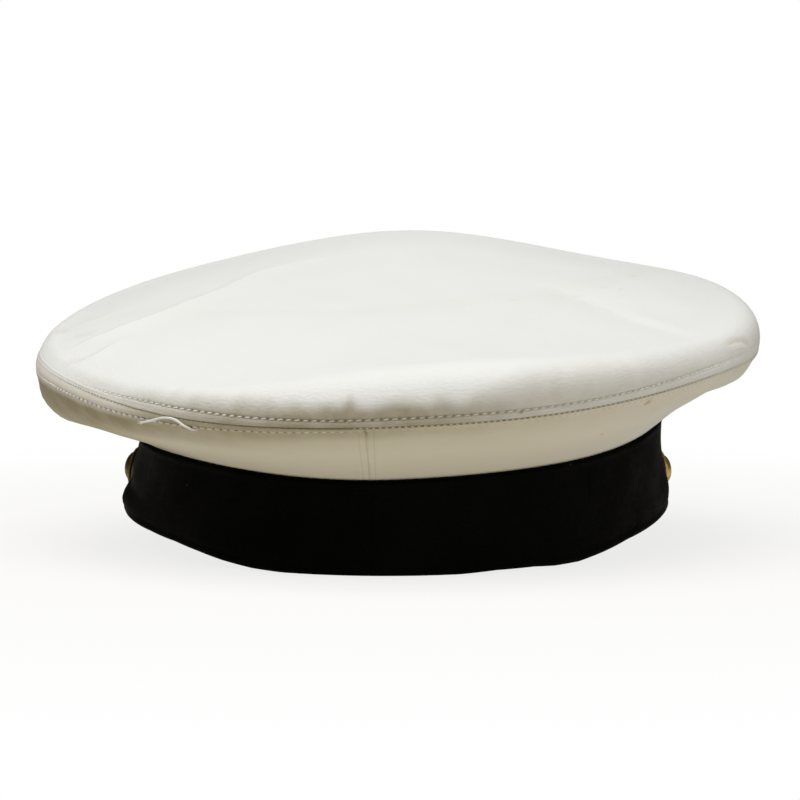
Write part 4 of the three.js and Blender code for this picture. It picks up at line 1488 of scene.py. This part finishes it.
crown_top = make_crown_top(cotton_top)
crown_side = make_crown_side(cotton_side)
top_stitching, side_stitching = make_stitching(thread)
make_band(ribbon)
make_peak(leather)
make_chin_strap(leather)
make_button("button_right", gilt)
# The left button gets the darker gilt as painted shade
make_button("button_left", gilt_in_shade)


# Studio

def make_floor():
    """A round pale floor, matt near the cap and brighter further out."""
    steps = FLOOR["corners"]
    turn = np.arange(steps) * 2 * np.pi / steps
    ring = np.stack([np.cos(turn), np.sin(turn), 0 * turn], -1) * FLOOR["radius"]
    points = np.concatenate([ring, ring - (0, 0, FLOOR["thickness"])]) - (0, 0, FLOOR["drop"])
    faces = [list(range(steps)), list(range(2 * steps - 1, steps - 1, -1))]
    faces += [[i, steps + i, steps + (i + 1) % steps, (i + 1) % steps] for i in range(steps)]
    mesh = bpy.data.meshes.new("pale_floor")
    mesh.from_pydata(points.tolist(), [], faces)
    material = bpy.data.materials.new("pale_floor")
    material.use_nodes = True
    tree = material.node_tree
    tree.nodes.clear()
    matt = put(tree, "ShaderNodeBsdfDiffuse", None, Color=(0.80, 0.77, 0.71, 1))
    seen = put(tree, "ShaderNodeLightPath").outputs["Is Camera Ray"]
    glow_colour = tint_of(tree, seen, (0.70, 0.67, 0.60, 1), (1, 1, 1, 1))
    glow = put(tree, "ShaderNodeEmission", None, Strength=1.0, Color=glow_colour)
    away = vector_of(tree, "LENGTH", place_of(tree))["Value"]
    share = level_of(tree, seen, 0.6, ramp_of(tree, away, 0.08, 0.45, 0.8, 1.0))
    mixed = put(tree, "ShaderNodeMixShader", None, Fac=share, i1=matt.outputs[0], i2=glow.outputs[0])
    surface = put(tree, "ShaderNodeOutputMaterial")
    tree.links.new(mixed.outputs[0], surface.inputs["Surface"])
    mesh.materials.append(material)
    floor = bpy.data.objects.new("pale_floor", mesh)
    bpy.context.scene.collection.objects.link(floor)


def make_light(name, place, aim, size, power, colour):
    light = bpy.data.lights.new(name, "AREA")
    light.shape = "SQUARE"
    light.size = size
    light.energy = power
    light.color = colour
    lamp = bpy.data.objects.new(name, light)
    lamp.location = place
    lamp.rotation_euler = (Vector(aim) - Vector(place)).to_track_quat("-Z", "Y").to_euler()
    bpy.context.scene.collection.objects.link(lamp)


def make_world():
    """A white backdrop that lights the cap only a little."""
    world = bpy.data.worlds.new("studio")
    bpy.context.scene.world = world
    world.use_nodes = True
    tree = world.node_tree
    tree.nodes.clear()
    seen = put(tree, "ShaderNodeLightPath").outputs["Is Camera Ray"]
    fill = put(tree, "ShaderNodeBackground", None, Color=(1.0, 0.93, 0.80, 1), Strength=0.06)
    backdrop = put(tree, "ShaderNodeBackground", None, Color=(1, 1, 1, 1), Strength=1.0)
    mixed = put(tree, "ShaderNodeMixShader", None, Fac=seen, i1=fill.outputs[0], i2=backdrop.outputs[0])
    tree.links.new(mixed.outputs[0], put(tree, "ShaderNodeOutputWorld").inputs["Surface"])


def make_camera():
    azimuth, elevation = CAMERA["azimuth"], CAMERA["elevation"]
    back = Vector((math.sin(azimuth) * math.cos(elevation), -math.cos(azimuth) * math.cos(elevation),
                   math.sin(elevation)))
    data = bpy.data.cameras.new("camera")
    data.sensor_width = CAMERA["sensor"]
    data.lens = CAMERA["focal_pixels"] / CAMERA["picture_pixels"] * CAMERA["sensor"]
    data.clip_start = 0.05
    data.clip_end = 50
    camera = bpy.data.objects.new("camera", data)
    camera.location = Vector(CAMERA["aim"]) + back * CAMERA["distance"]
    camera.rotation_mode = "QUATERNION"
    camera.rotation_quaternion = (-back).to_track_quat("-Z", "Y")
    bpy.context.scene.collection.objects.link(camera)
    bpy.context.scene.camera = camera


make_floor()
make_world()
for light in LIGHTS:
    make_light(**light)
make_camera()
bpy.context.scene.view_settings.view_transform = "Standard"

bpy.context.view_layer.update()
